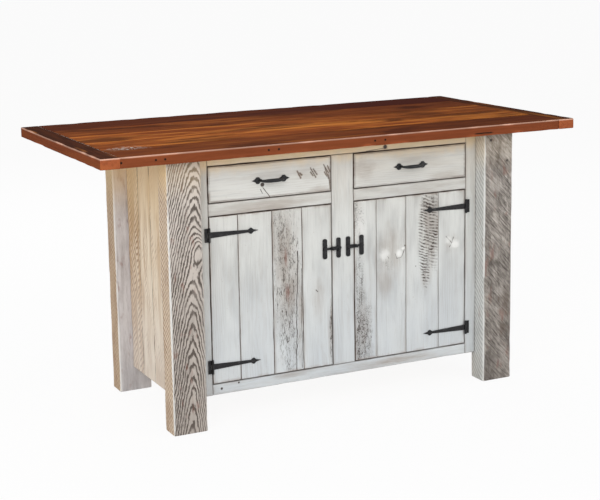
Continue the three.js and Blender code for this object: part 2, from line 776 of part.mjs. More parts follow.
/** Bar that turns on the door plate and drops behind the keeper's hook. */
function latchBar(side) {
  const reach = latchPlateSetback + keeperSetback + latchNose;
  const slim = latchBarHeight / 2;
  const broad = latchTongueHeight / 2;
  const broadFrom = latchPlateSetback;
  const shape = new THREE.Shape();
  const at = u => -side * u;
  shape.moveTo(0, -slim);
  shape.lineTo(at(latchPlateWidth), -slim);
  shape.lineTo(at(broadFrom), -broad);
  shape.lineTo(at(reach - broad), -broad);
  shape.absarc(at(reach - broad), 0, broad, -Math.PI / 2, Math.PI / 2, side > 0);
  shape.lineTo(at(broadFrom), broad);
  shape.lineTo(at(latchPlateWidth), slim);
  shape.lineTo(0, slim);
  return carve([
    forged(shape, -barFront, -barBack),
    rod('y', 0, 0, latchTail, -barFront, -barBack),
    turned(knobProfile(), at(latchKnobPlace), -barFront, 0),
  ], [rod('y', 0, 0, latchPivotRadius + seat, -barFront - overlap, -barBack + overlap)]);
}

/** Hook of the keeper as a (Y, Z) outline: a floor under the bar and a lip in front of it. */
function hookOutline() {
  const under = -latchTongueHeight / 2 - seat;
  const lipBack = -(barFront + hookPlay);
  const lipFront = lipBack - hookThick;
  const rise = -latchTongueHeight / 2 + hookRise;
  const root = -plateFront + overlap;
  return outline([
    [root, under], [root, under - 2 * hookThick], [lipBack, under - hookThick], [lipFront, under],
    [lipFront, rise - hookThick], [lipBack, rise], [lipBack, under],
  ]);
}

function addLatch(side) {
  const name = `latch_${sideName(side)}`;
  const plateAt = side * (openingInner + latchPlateSetback);
  const keeperAt = side * (openingInner - keeperSetback);
  const onDoor = addGroup(island, plateAt, frameFront, latchHeight);
  const onStile = addGroup(island, keeperAt, frameFront, latchHeight);
  const headBack = barFront + seat;
  const plate = carve([
    latchPlate(),
    rod('y', 0, 0, latchPivotRadius, -headBack - ironEdge, -plateFront + overlap),
    rod('y', 0, 0, latchPivotHead, -headBack - latchPivotHeadThick, -headBack),
  ]);
  const hook = prism(hookOutline(), 'x', -hookWidth / 2, hookWidth / 2);
  addPiece(onDoor, `${name}_plate`, plate, iron);
  addPiece(onDoor, `${name}_bar`, latchBar(side), iron);
  addPiece(onStile, `${name}_keeper`, carve([latchPlate(), hook]), iron);
}

// ---------------------------------------------------------------- the whole unit

addWorktop();
addPosts();
addFaceFrame();
addBackPanel();
addInnerBoards();
for (const side of [-1, 1]) {
  addSidePanel(side);
  addDrawer(side);
  addDoor(side);
}

export default island;
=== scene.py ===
"""Kitchen island unit: worn timber, washes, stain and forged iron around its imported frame.

Metres, in the frame's axes: X along the front, Y to the back, Z up. Each piece takes its place from
the box of the node that it stands for.
"""

import itertools
import json
import math

import bpy
import numpy as np
from bpy.props import FloatProperty, FloatVectorProperty, PointerProperty
from bpy.types import Operator, Panel, PropertyGroup
from mathutils import Matrix, Vector

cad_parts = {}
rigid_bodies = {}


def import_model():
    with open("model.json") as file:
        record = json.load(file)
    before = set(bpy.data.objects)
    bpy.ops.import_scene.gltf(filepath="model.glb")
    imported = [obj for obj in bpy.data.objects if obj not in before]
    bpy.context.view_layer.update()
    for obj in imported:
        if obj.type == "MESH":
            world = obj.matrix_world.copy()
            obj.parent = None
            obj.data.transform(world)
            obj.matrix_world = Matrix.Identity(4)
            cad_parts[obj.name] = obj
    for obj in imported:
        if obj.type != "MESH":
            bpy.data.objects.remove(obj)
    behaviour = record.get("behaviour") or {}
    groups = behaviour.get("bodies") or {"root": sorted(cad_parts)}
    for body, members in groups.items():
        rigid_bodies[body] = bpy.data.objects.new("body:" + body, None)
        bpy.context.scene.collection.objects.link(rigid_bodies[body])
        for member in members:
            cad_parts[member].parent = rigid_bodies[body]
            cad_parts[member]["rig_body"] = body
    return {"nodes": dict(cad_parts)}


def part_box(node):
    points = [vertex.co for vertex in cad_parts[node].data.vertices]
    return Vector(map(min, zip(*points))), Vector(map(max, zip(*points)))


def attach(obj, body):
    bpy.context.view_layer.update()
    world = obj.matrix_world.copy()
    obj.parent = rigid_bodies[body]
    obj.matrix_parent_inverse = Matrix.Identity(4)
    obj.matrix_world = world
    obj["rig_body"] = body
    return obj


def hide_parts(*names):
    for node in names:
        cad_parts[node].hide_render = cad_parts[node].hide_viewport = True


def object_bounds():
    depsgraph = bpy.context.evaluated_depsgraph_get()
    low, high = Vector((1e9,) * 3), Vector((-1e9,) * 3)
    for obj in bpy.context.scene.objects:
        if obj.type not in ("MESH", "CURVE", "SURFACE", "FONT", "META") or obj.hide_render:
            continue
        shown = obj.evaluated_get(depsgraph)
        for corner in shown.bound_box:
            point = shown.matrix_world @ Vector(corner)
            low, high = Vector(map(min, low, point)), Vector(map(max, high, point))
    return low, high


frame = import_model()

bl_info = {
    "name": "Kitchen Island Unit",
    "version": (1, 0, 0),
    "blender": (4, 5, 0),
    "location": "3D View > Sidebar > Island",
    "description": "Dresses a kitchen island in worn timber and forged iron",
    "category": "Object",
}

CAD_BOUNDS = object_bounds()
X, Y, Z = 0, 1, 2
TOP_LEVELS = tuple(corner[Z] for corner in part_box("worktop_plank_1"))
SIDES = {"left": -1, "right": 1}
ENDS = ("lower", "upper")
SEAT = 0.0003  # gap that pieces keep where they touch


def corners_of(node):
    """Lowest and highest corner of a node, as arrays."""
    return tuple(np.array(corner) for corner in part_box(node))


def tone(red, green, blue):
    """Linear colour for screen values from 0 to 255."""
    screen = np.array([red, green, blue]) / 255
    linear = np.where(screen <= 0.04045, screen / 12.92, ((screen + 0.055) / 1.055) ** 2.4)
    return tuple(float(part) for part in linear)


# ---------------------------------------------------------------- sizes and colours a user may change


def length(name, description, default):
    """A size property in metres."""
    return FloatProperty(name=name, description=description, default=default, min=0, unit="LENGTH")


def colour(name, description, default):
    """A colour property."""
    return FloatVectorProperty(
        name=name, description=description, default=default, size=3, min=0, max=1, subtype="COLOR"
    )


class IslandSizes(PropertyGroup):
    """How far the timber is rounded and worn, and how finely it is cut."""

    top_arris: length("Worktop edge", "Rounding of the worktop's edges", 0.0032)
    post_arris: length("Post edge", "Rounding of the posts' edges", 0.0042)
    board_arris: length("Board edge", "Rounding of rails, stiles and boards", 0.0016)
    seam_arris: length("Seam edge", "Rounding where two boards meet at a seam", 0.0026)
    wear: length("Edge wear", "Deepest wear of an edge", 0.0011)
    sawn: length("Sawn relief", "Depth of the saw's ripple on a post", 0.0005)
    ripple: length("Face ripple", "Unevenness of a planed face", 0.00035)
    spacing: length("Spacing", "Distance between points along a board", 0.006)
    screw_radius: length("Screw head", "Radius of a screw head", 0.0027)


class IslandColours(PropertyGroup):
    """Colours of the finishes."""

    wash: colour("Wash", "Clean whitewash", tone(218, 219, 215))
    wash_shade: colour("Wash shade", "Where the wash is thin", tone(178, 179, 177))
    wash_cool: colour("Cool wash", "Wash low down on the unit", tone(204, 211, 217))
    wash_warm: colour("Warm wash", "Wash high up on the unit", tone(214, 203, 184))
    knot_pale: colour("Pale knot", "Thick wash over a knot", tone(236, 236, 233))
    glaze: colour("Glaze", "Brown glaze in the seams", tone(82, 65, 53))
    veil: colour("Veil", "Brown haze round the wear", tone(146, 130, 116))
    old_wood: colour("Old wood", "Weathered wood where the wash has gone", tone(70, 61, 55))
    rust: colour("Rust stain", "Reddish stain in the old wood", tone(132, 84, 70))
    # Painted light: warm bounce from the worktop, made brighter to offset the shade under its overhang, for
    # the band just below it.
    painted_bounce: colour("Under the top", "Yellowed wash just below the worktop", tone(246, 216, 164))
    grain_pale: colour("Grained post", "Wash between the arches of a grained post", tone(204, 194, 185))
    grain_dark: colour("Grain lines", "Arches of a grained post", tone(88, 79, 72))
    sawn_pale: colour("Sawn post", "Ridges of a rough-sawn post", tone(204, 196, 187))
    sawn_dark: colour("Saw marks", "Marks of the saw on a post", tone(76, 68, 62))
    plain_pale: colour("Plain post", "Wash on a post with close grain", tone(224, 222, 223))
    plain_dark: colour("Plain post grain", "Close grain of a post", tone(156, 149, 148))
    post_side: colour("Post side", "Sides of a front post", tone(224, 206, 182))
    post_side_deep: colour("Back post side", "Sides of a back post", tone(204, 182, 154))
    post_side_dark: colour("Post side marks", "Marks on the sides of a post", tone(150, 116, 90))
    side_pale: colour("Side wash", "Thin wash on the side boards", tone(248, 236, 214))
    side_wood: colour("Side wood", "Warm wood under the thin wash", tone(190, 156, 114))
    stain: colour("Stain", "Worktop stain", tone(136, 70, 33))
    stain_light: colour("Light stain", "Pale streaks of the worktop", tone(200, 114, 52))
    stain_gold: colour("Golden stain", "Brightest streaks of the worktop", tone(226, 142, 64))
    stain_dark: colour("Dark stain", "Dark streaks of the worktop", tone(50, 22, 14))
    stain_deep: colour("Deep stain", "Planks that took the stain deeply", tone(70, 30, 22))
    stain_edge: colour("Edge stain", "Edges of the worktop", tone(168, 92, 58))
    # Painted highlight: a pale pinkish line along the worktop's outer arris, where light catches the edge.
    painted_arris_highlight: colour("Worn stain", "Rubbed edges of the worktop", tone(232, 190, 168))
    breadboard: colour("Breadboard", "Stain of the end boards", tone(68, 36, 22))
    breadboard_light: colour("Light breadboard", "Pale streaks of the end boards", tone(104, 56, 32))
    bare: colour("Bare wood", "Inside of the unit", tone(214, 184, 140))
    bare_line: colour("Bare grain", "Grain lines of the bare wood", tone(172, 132, 86))
    iron: colour("Iron", "Blackened iron", tone(25, 25, 27))
    iron_worn: colour("Worn iron", "Rubbed edges of the iron", tone(62, 61, 62))


# ---------------------------------------------------------------- smooth noise and shapes in numpy


def lattice(cells, seed):
    """A repeatable number from 0 to 1 for each whole-number cell: the fraction of a large sine."""
    turned_cells = cells @ np.array([127.1, 311.7, 74.7]) + seed * 17.3
    return np.modf(np.abs(np.sin(turned_cells) * 43758.5453))[0]


def soft_noise(points, size, seed):
    """Smooth noise from 0 to 1: the values at a cell's eight corners, blended by smoothsteps."""
    scaled = points / np.asarray(size)
    cell = np.floor(scaled)
    share = scaled - cell
    share = share * share * (3 - 2 * share)
    total = np.zeros(points.shape[:-1])
    for corner in itertools.product((0, 1), repeat=3):
        weight = np.prod(np.where(corner, share, 1 - share), axis=-1)
        total += weight * lattice(cell + corner, seed)
    return total


ARC_STEPS = 5


def fillet(before, corner, after, radius):
    """Points of the arc that rounds a corner: its two tangent radii, swept into each other."""
    back = (before - corner) / np.linalg.norm(before - corner)
    ahead = (after - corner) / np.linalg.norm(after - corner)
    half = math.acos(np.clip(back @ ahead, -1, 1)) / 2
    bisector = (back + ahead) / np.linalg.norm(back + ahead)
    centre = corner + bisector * radius / math.sin(half)
    first = corner + back * radius / math.tan(half) - centre
    last = corner + ahead * radius / math.tan(half) - centre
    sweep = math.pi - 2 * half
    share = np.linspace(0, 1, ARC_STEPS)[:, None]
    return centre + (np.sin((1 - share) * sweep) * first + np.sin(share * sweep) * last) / math.sin(sweep)


NEAR_CORNER = 2.5  # how far the wear of a corner reaches, in its radii


def section(corners, radii, spacing):
    """Closed cross-section: straight sides cut to the spacing, and an arc at each corner with a radius.

    Also gives how near each point is to a rounded corner, falling from 1 as a bell curve.
    """
    corners = np.asarray(corners, float)
    neighbours = zip(np.roll(corners, 1, 0), corners, np.roll(corners, -1, 0), radii)
    arcs = [fillet(a, b, c, radius) if radius > 0 else b[None] for a, b, c, radius in neighbours]
    pieces = []
    for arc, following in zip(arcs, arcs[1:] + arcs[:1]):
        run = following[0] - arc[-1]
        count = max(round(float(np.linalg.norm(run)) / spacing), 1)
        share = np.arange(1, count)[:, None] / count
        pieces += [arc, arc[-1] + share * run]
    points = np.concatenate(pieces)
    rounded = corners[np.asarray(radii) > 0]
    distance = np.linalg.norm(points[:, None] - rounded[None], axis=2).min(1)
    return points, np.exp(-((distance / (NEAR_CORNER * max(radii))) ** 2))


def outward(points):
    """Normals of a closed outline in its plane, pointing out of it."""
    tangent = np.roll(points, -1, 0) - np.roll(points, 1, 0)
    normal = np.stack([tangent[:, 1], -tangent[:, 0]], 1)
    normal /= np.maximum(np.linalg.norm(normal, axis=1, keepdims=True), 1e-12)
    following = np.roll(points, -1, 0)
    area = np.sum(points[:, 0] * following[:, 1] - following[:, 0] * points[:, 1])
    return normal * np.sign(area)


def turned_in(points, quads):
    """Whether a closed shell faces inwards: its volume, added up over triangles, is negative."""
    a, b, c, d = np.moveaxis(points[quads] - points.mean(0), 1, 0)
    return np.sum(a * np.cross(b, c)) + np.sum(a * np.cross(c, d)) < 0


def tube(grid):
    """Closed shell over rings of points: a quad between neighbours, and a flat face on each end ring."""
    rings, sides = grid.shape[:2]
    points = grid.reshape(-1, 3)
    ring = np.arange(rings - 1)[:, None] * sides
    side = np.arange(sides)[None]
    following = (side + 1) % sides
    quads = np.stack([ring + side, ring + following, ring + sides + following, ring + sides + side], -1)
    quads = quads.reshape(-1, 4)
    caps = np.stack([np.arange(sides)[::-1], np.arange(sides) + (rings - 1) * sides])
    if turned_in(points, quads):
        quads, caps = quads[:, ::-1], caps[:, ::-1]
    return points, [quads, caps]


def ring_shell(grid):
    """Closed shell over a grid that joins up in both directions."""
    rows, columns = grid.shape[:2]
    points = grid.reshape(-1, 3)
    row, column = np.mgrid[0:rows, 0:columns]
    next_row, next_column = (row + 1) % rows, (column + 1) % columns
    corners = [row * columns + column, row * columns + next_column]
    corners += [next_row * columns + next_column, next_row * columns + column]
    quads = np.stack(corners, -1).reshape(-1, 4)
    return points, [quads[:, ::-1] if turned_in(points, quads) else quads]


DENT_ACROSS, DENT_ALONG = 0.012, 0.045  # size of the dents in a worn edge


def timber(profile, span, grain, wear, relief, end_round, spacing, seed):
    """Closed board: a cross-section, with its nearness to corners, carried along the grain.

    A point lies on the section, moved inwards by the sum of the edge wear (times its nearness to a
    corner and a cubed noise), each relief (an amplitude times a noise of its own size) and a
    quarter circle at both ends.
    """
    outline, nearness = profile
    start, end = span
    count = max(round((end - start) / spacing), 2)
    eased = end_round * (1 - np.cos(np.linspace(0, math.pi / 2, ARC_STEPS)))
    middle = np.linspace(start + end_round, end - end_round, count)[1:-1]
    along = np.concatenate([start + eased, middle, end - eased[::-1]])
    from_end = np.minimum(np.minimum(along - start, end - along), end_round)
    rounding = end_round - np.sqrt(np.maximum(end_round**2 - (end_round - from_end) ** 2, 0))

    across_axes = [axis for axis in (X, Y, Z) if axis != grain]
    grid = np.zeros((len(along), len(outline), 3))
    grid[..., across_axes] = outline
    grid[..., grain] = along[:, None]
    dent = np.full(3, DENT_ACROSS)
    dent[grain] = DENT_ALONG
    depth = wear * nearness * soft_noise(grid, dent, seed) ** 3 * 2 + rounding[:, None]
    for number, (amplitude, size) in enumerate(relief):
        depth = depth + amplitude * soft_noise(grid, size, seed + number + 1)
    grid[..., across_axes] -= outward(outline) * depth[..., None]
    return tube(grid)


def rectangle(low, high):
    """Four corners of a rectangle, in order."""
    return [(low[0], low[1]), (high[0], low[1]), (high[0], high[1]), (low[0], high[1])]


def replace_node(node, ending, shells, material, smooth_angle=40):
    """Makes one object of closed shells that stands for a node, in its place and on its body."""
    points, faces, offset = [], [], 0
    for shell_points, blocks in shells:
        points.append(shell_points)
        for block in blocks:
            faces += (block + offset).tolist()
        offset += len(shell_points)
    mesh = bpy.data.meshes.new(f"{node}_{ending}")
    mesh.from_pydata(np.concatenate(points).tolist(), [], faces)
    mesh.shade_smooth()
    mesh.set_sharp_from_angle(angle=math.radians(smooth_angle))
    mesh.materials.append(material)
    piece = bpy.data.objects.new(f"{node}_{ending}", mesh)
    bpy.context.scene.collection.objects.link(piece)
    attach(piece, frame["nodes"][node]["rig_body"])
    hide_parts(node)


# ---------------------------------------------------------------- shader maths


class Value:
    """A shader socket that adds Math nodes when it is used in arithmetic."""

    def __init__(self, graph, socket):
        self.graph = graph
        self.socket = socket

    def __add__(self, other):
        return self.graph.math("ADD", self, other)

    def __sub__(self, other):
        return self.graph.math("SUBTRACT", self, other)

    def __rsub__(self, other):
        return self.graph.math("SUBTRACT", other, self)

    def __mul__(self, other):
        return self.graph.math("MULTIPLY", self, other)

    def __truediv__(self, other):
        return self.graph.math("DIVIDE", self, other)

    __radd__ = __add__
    __rmul__ = __mul__


class Graph:
    """The node tree of one new material or world."""

    def __init__(self, owner):
        owner.use_nodes = True
        self.owner = owner
        self.tree = owner.node_tree
        self.tree.nodes.clear()

    def node(self, kind, settings=None, sockets=None):
        """Adds a node, sets its settings, then fills its sockets with values or links."""
        made = self.tree.nodes.new("ShaderNode" + kind)
        for key, setting in (settings or {}).items():
            setattr(made, key, setting)
        for key, value in (sockets or {}).items():
            if isinstance(value, Value):
                self.tree.links.new(value.socket, made.inputs[key])
            else:
                made.inputs[key].default_value = value
        return made

    def value(self, kind, settings=None, sockets=None, output=0):
        """One output of a new node."""
        return Value(self, self.node(kind, settings, sockets).outputs[output])

    def place(self):
        """Object coordinates."""
        return self.value("TexCoord", output=3)

    def math(self, operation, first, second=0.0):
        return self.value("Math", {"operation": operation}, {0: first, 1: second})

    def least(self, first, second):
        return self.math("MINIMUM", first, second)

    def most(self, first, second):
        return self.math("MAXIMUM", first, second)

    def size_of(self, value):
        return self.math("ABSOLUTE", value)

    def fraction(self, value):
        return self.math("FRACT", value)

    def wave(self, value):
        """Sine of a value in turns, from 0 to 1."""
        return self.math("SINE", value * (2 * math.pi)) * 0.5 + 0.5

    def smooth(self, value, low, high):
        """0 below low, 1 above high, and a smoothstep between."""
        sockets = {"Value": value, "From Min": low, "From Max": high}
        return self.value("MapRange", {"interpolation_type": "SMOOTHSTEP"}, sockets)

    def mix(self, factor, first, second):
        """Colour mixed from two."""
        colours = [part if isinstance(part, Value) else (*part, 1.0) for part in (first, second)]
        sockets = {0: factor, 6: colours[0], 7: colours[1]}
        return self.value("Mix", {"data_type": "RGBA", "clamp_factor": True}, sockets, 2)

    def coats(self, tint, *layers):
        """Tint with layers of colour over it in turn, each given as an amount and a colour."""
        for amount, colour in layers:
            tint = self.mix(amount, tint, colour)
        return tint

    def noise_at(self, vector, detail=3.0, roughness=0.55, warp=0.0):
        """Noise from 0 to 1 whose features are about one unit of the vector across."""
        sockets = {"Vector": vector, "Scale": 1.0}
        sockets |= {"Detail": detail, "Roughness": roughness, "Distortion": warp}
        return self.value("TexNoise", None, sockets)

    def finish(self, colour, roughness, height, depth, metallic=0.0, coat=0.0, specular=0.5):
        """Joins colour, roughness and bump to the shader and the output."""
        normal = self.value("Bump", None, {"Strength": 1.0, "Distance": depth, "Height": height})
        sockets = {
            "Base Color": colour,
            "Roughness": roughness,
            "Metallic": metallic,
            "Normal": normal,
            "Coat Weight": coat,
            "Coat Roughness": 0.22,
            "Specular IOR Level": specular,
        }
        shader = self.value("BsdfPrincipled", None, sockets)
        self.node("OutputMaterial", None, {"Surface": shader})
        return self.owner


class Wood(Graph):
    """Material of one board, in the board's own coordinates, in metres from its middle.

    "across" runs over its face, "out" through its thickness, "along" with the grain. A panel of
    several boards starts "across" afresh on each of them and shifts its noise. "raw" and its
    "raw_across" and "raw_along" are the frame's own coordinates, for marks at a known place.
    """

    def __init__(self, node, grain, face, seed, boards=1):
        super().__init__(bpy.data.materials.new(f"{node}_finish"))
        low, high = corners_of(node)
        width_axis = 3 - grain - face
        middle, half = (low + high) / 2, (high - low) / 2
        parts = self.node("SeparateXYZ", None, {0: self.place()})
        self.raw = [Value(self, parts.outputs[axis]) for axis in (X, Y, Z)]
        self.raw_across, self.raw_along = self.raw[width_axis], self.raw[grain]
        self.height = self.raw[Z]
        self.seed = seed
        self.half_along = float(half[grain])
        self.half_out = float(half[face])
        self.half_across = float(half[width_axis]) / boards
        self.along = self.raw_along - float(middle[grain])
        self.out = self.raw[face] - float(middle[face])
        self.across = self.raw_across - float(middle[width_axis])
        self.board_tint, shift = 0.5, 0.0
        if boards > 1:
            place_in_row = (self.across + float(half[width_axis])) / (2 * self.half_across)
            shift = self.math("FLOOR", place_in_row) * 7.31
            self.across = (self.fraction(place_in_row) - 0.5) * (2 * self.half_across)
            self.board_tint = self.fraction(shift * 0.37 + 0.2)
        self.local = self.value("CombineXYZ", None, {0: self.across, 1: self.out, 2: self.along + shift})

    def noise(self, across, along, detail=3.0, roughness=0.55, warp=0.0, salt=0.0, out=None):
        """Noise whose features have these sizes, in metres."""
        start = self.seed * 3.7 + salt
        sizes = (1 / across, 1 / (out or across), 1 / along)
        sockets = {0: self.local, 1: sizes, 2: (start, start * 1.7, start * 0.6)}
        vector = self.value("VectorMath", {"operation": "MULTIPLY_ADD"}, sockets)
        return self.noise_at(vector, detail, roughness, warp)

    def rings(self, pith_across, pith_depth, spacing, waver, lean=0.0):
        """Late wood of rings about a wandering pith, 0 to 1: slow to darken, quick to end."""
        wander = self.noise(0.09, 0.30, 2.0, salt=5.1) - 0.5
        ripple = self.noise(0.02, 0.07, 2.0, salt=8.3) - 0.5
        sideways = self.across - pith_across + wander * waver + self.along * lean
        inwards = self.out + self.half_out + pith_depth + ripple * (waver * 0.18)
        radius = self.math("SQRT", sideways * sideways + inwards * inwards)
        share = self.fraction(radius / spacing)
        return self.smooth(share, 0.35, 0.8) * (1 - self.smooth(share, 0.9, 1.0))

    def edge(self, uneven=0.0006):
        """Distance from the nearest edge of the face, made uneven."""
        to_side = self.half_across - self.size_of(self.across)
        to_end = self.half_along - self.size_of(self.along)
        return self.least(to_side, to_end) + (self.noise(0.004, 0.02, 2.0, salt=2.2) - 0.5) * (2 * uneven)

    def spot(self, at, reach, ragged=0.35, softness=0.5):
        """1 inside an ellipse about a place on the face, given in the frame's (across, along)."""
        sideways = (self.raw_across - at[0]) / reach[0]
        lengthways = (self.raw_along - at[1]) / reach[1]
        distance = self.math("SQRT", sideways * sideways + lengthways * lengthways)
        uneven = self.noise(reach[0] * 0.7, reach[1] * 0.5, 3.0, salt=at[0] * 40) - 0.5
        return 1 - self.smooth(distance + uneven * (2 * ragged), 1 - softness, 1.0)

    def painted_bounce_band(self, amount=0.8, start=0.805):
        """Strength of the painted warm bounce light in the band just below the worktop, from a given
        height.
        """
        ragged = (self.noise(0.03, 0.03, 3.0, salt=2.9) - 0.5) * 0.03
        return self.smooth(self.height + ragged, start, 0.870) * amount


# ---------------------------------------------------------------- marks of wear at known places


def saw_marks(at, reach, pitch, tilt, salt=0.0, weight=0.0):
    """Soft dark dashes across the grain, left by a saw: a wave along the grain, broken by noise."""

    def mark(wood):
        drift = wood.noise(0.03, 0.04, 2.0, salt=11.0 + salt) * 1.6
        lines = wood.wave(wood.raw_along / pitch + wood.raw_across * tilt + drift)
        broken = wood.noise(0.013, 0.0050, 3.0, 0.65, salt=12.0 + salt)
        strength = wood.smooth(wood.noise(0.018, 0.030, 2.0, salt=13.0 + salt), 0.28, 0.62) * 0.75 + 0.25
        dashes = wood.smooth(lines * 0.44 + broken * 1.2, 0.78 - weight, 1.06 - weight) * strength
        return dashes * wood.spot(at, reach, 0.55, 0.5)

    return mark


def weathering(at, reach, amount, salt=0.0, dash=0.014):
    """Bare dashes along the grain where the wash has gone."""

    def mark(wood):
        dashes = wood.noise(0.0020, dash, 4.0, 0.7, salt=21.0 + salt)
        patches = wood.noise(0.012, 0.04, 2.0, salt=23.0 + salt)
        share = dashes * 0.72 + patches * 0.28
        return wood.smooth(share, 0.60 - amount, 0.68 - amount) * wood.spot(at, reach, 0.5, 0.6)

    return mark


def crack(start, end, width, waver=0.003):
    """Thin wavering line between two places on the face."""

    def mark(wood):
        run = np.array(end) - np.array(start)
        size = float(np.linalg.norm(run))
        way = run / size
        wander = (wood.noise(0.05, 0.08, 3.0, salt=31.0 + start[0]) - 0.5) * (2 * waver)
        sideways = wood.raw_across - start[0]
        lengthways = wood.raw_along - start[1]
        travelled = sideways * float(way[0]) + lengthways * float(way[1])
        aside = sideways * float(-way[1]) + lengthways * float(way[0]) + wander
        started = wood.smooth(travelled, -0.002, 0.002)
        inside = started * (1 - wood.smooth(travelled, size - 0.002, size + 0.002))
        thickness = wood.noise(0.02, 0.03, 2.0, salt=33.0) * (1.4 * width) + width * 0.3
        return (1 - wood.smooth(wood.size_of(aside) - thickness, -0.0004, 0.0004)) * inside

    return mark


def hole(at, radius):
    """Round dark hole, as a nail leaves."""
    return lambda wood: wood.spot(at, (radius, radius), 0.15, 0.35)


def patch(at, reach, amount=1.0, ragged=0.4):
    """Soft patch of a given strength."""
    return lambda wood: wood.spot(at, reach, ragged, 0.8) * amount


def gather(wood, marks):
    """The strongest of several marks at each point."""
    total = 0.0
    for mark in marks:
        total = wood.most(total, mark(wood))
    return total


# ---------------------------------------------------------------- finishes


def washed(wood, colours, wear=None, glaze=1.0, thin=1.0, warm=1.0, bead=0.0):
    """Off-white wash: thin in soft clouds, warm high up and cool low down, glazed in its edges.

    The wear lists old wood, holes, veils, pale knots and rust, each as marks at known places. A
    bead rounds the edge over that width, with a faint line of glaze along it.
    """
    wear = wear or {}
    old, holes, veils, knots, rusty = (
        gather(wood, wear.get(kind, ())) for kind in ("old", "holes", "veils", "knots", "rust")
    )
    fibres = wood.noise(0.0013, 0.05, 4.0, 0.6, salt=1.0)
    cloud = wood.noise(0.036, 0.15, 3.0, 0.48, salt=3.0)
    broad = wood.noise(0.08, 0.24, 2.0, 0.5, salt=4.0)
    streaks = wood.noise(0.007, 0.16, 3.0, 0.55, salt=5.0)

    thinness = wood.smooth(cloud, 0.42, 0.76) * 0.4 + wood.smooth(broad, 0.36, 0.70) * 0.4 + 0.1
    low_down = 1 - wood.smooth(wood.height, 0.14, 0.62)
    high_up = wood.smooth(wood.height, 0.58, 0.84) * warm
    lines = wood.rings(wood.half_across * 0.3, 0.035, 0.0060, 0.035, 0.02)
    specks = wood.smooth(wood.noise(0.0035, 0.006, 2.0, salt=6.0), 0.70, 0.77)
    edge = wood.edge()
    hold = wood.smooth(wood.noise(0.03, 0.07, 3.0, salt=7.0), 0.30, 0.60)
    seam = (1 - wood.smooth(edge, 0.0007, 0.0029)) * (hold * 0.45 + 0.55) * glaze
    halo = (1 - wood.smooth(edge, 0.0010, 0.0130)) * wood.smooth(cloud, 0.38, 0.66) * (0.42 * glaze)
    tint = wood.coats(
        colours.wash,
        (thinness * thin, colours.wash_shade),
        (low_down * (broad * 0.6 + 0.30), colours.wash_cool),
        (high_up * (cloud * 0.5 + 0.05), colours.wash_warm),
        (wood.smooth(streaks, 0.52, 0.72) * 0.34, colours.wash_shade),
        (lines * wood.smooth(broad, 0.42, 0.64) * 0.12, colours.veil),
        (wood.smooth(fibres, 0.50, 0.72) * 0.18, colours.veil),
        (specks * 0.45, colours.veil),
        # painted warm bounce light from the worktop, just below it
        (wood.painted_bounce_band(), colours.painted_bounce),
        (veils * wood.smooth(cloud * 0.5 + fibres * 0.5, 0.25, 0.65), colours.veil),
        (rusty * wood.smooth(fibres, 0.35, 0.6), colours.rust),
        (old, wood.mix(rusty * 0.7, colours.old_wood, colours.rust)),
        (knots, colours.knot_pale),
        (halo, colours.veil),
        (seam, colours.glaze),
        (holes, colours.old_wood),
    )

    height = fibres * 0.30 + streaks * 0.2 - old * 0.7 - holes + knots * 0.4
    if bead:
        line = (1 - wood.smooth(wood.size_of(edge - bead), 0.0003, 0.0013)) * (hold * 0.5 + 0.1)
        tint = wood.mix(line, tint, colours.glaze)
        height = height + wood.smooth(edge, 0.0, bead) * 2.5
    roughness = old * 0.2 + 0.56 + thinness * 0.1
    return wood.finish(tint, roughness, height, 0.0006)


def post_finish(wood, colours, pattern, tones, holes, stains, bounce_from, bounce_front, bounce_side):
    """Rough-sawn post: a pattern on its front and back, plain sides, and pale edges that are partly rubbed
    wash and partly a painted highlight, strongest on the left where the light falls.

    The last three arguments give the height where the painted warm bounce light under the worktop starts,
    how strong it is on the front and back, and how strong on the sides.
    """
    front_pale, front_dark, side_pale, side_dark = tones
    fibres = wood.noise(0.0014, 0.030, 4.0, 0.65, salt=1.0)
    cloud = wood.noise(0.045, 0.12, 3.0, 0.5, salt=3.0)
    lines = pattern(wood, fibres)
    red = wood.smooth(wood.noise(0.022, 0.06, 3.0, salt=9.0), 0.58, 0.72) * 0.45
    front = wood.coats(
        front_pale,
        (lines, front_dark),
        (wood.smooth(cloud, 0.45, 0.70) * 0.26, front_dark),
        ((1 - wood.smooth(wood.height, 0.1, 0.85)) * 0.27, front_dark),
        (red, colours.rust),
        (gather(wood, stains), colours.glaze),
    )

    slope = wood.wave((wood.along - wood.out * 1.1) / 0.019 + cloud * 1.6)
    side_marks = wood.smooth(slope * 0.55 + fibres * 0.8, 0.56, 0.84)
    side = wood.coats(
        side_pale,
        (side_marks * 0.80 + wood.smooth(fibres, 0.55, 0.8) * 0.25, side_dark),
        (wood.smooth(cloud, 0.48, 0.70) * 0.40, side_dark),
        (red * 0.6, colours.rust),
    )
    on_side = wood.smooth(wood.size_of(wood.across), wood.half_across - 0.0030, wood.half_across - 0.0014)

    # pale post edges: partly rubbed wash, partly a painted highlight, strongest on the left edges that face
    # the key lamp
    to_corner = wood.size_of(wood.across) + wood.size_of(wood.out) - (wood.half_across + wood.half_out)
    rubbed_and_lit_edge = wood.smooth(to_corner + (fibres - 0.5) * 0.004, -0.0072, -0.0040)
    lit_left = wood.smooth(wood.across, -0.002, 0.002) * -0.65 + 1
    bounce_amount = on_side * (bounce_side - bounce_front) + bounce_front
    holed = gather(wood, holes)
    tint = wood.coats(
        front,
        (on_side, side),
        (rubbed_and_lit_edge * lit_left * 0.80, colours.knot_pale),
        # painted warm bounce light from the worktop, just below it
        (wood.painted_bounce_band(bounce_amount, bounce_from), colours.painted_bounce),
        (holed, colours.old_wood),
    )
    height = fibres * 0.5 - lines * 0.6 - holed - side_marks * on_side * 0.4
    return wood.finish(tint, 0.80, height, 0.0011)


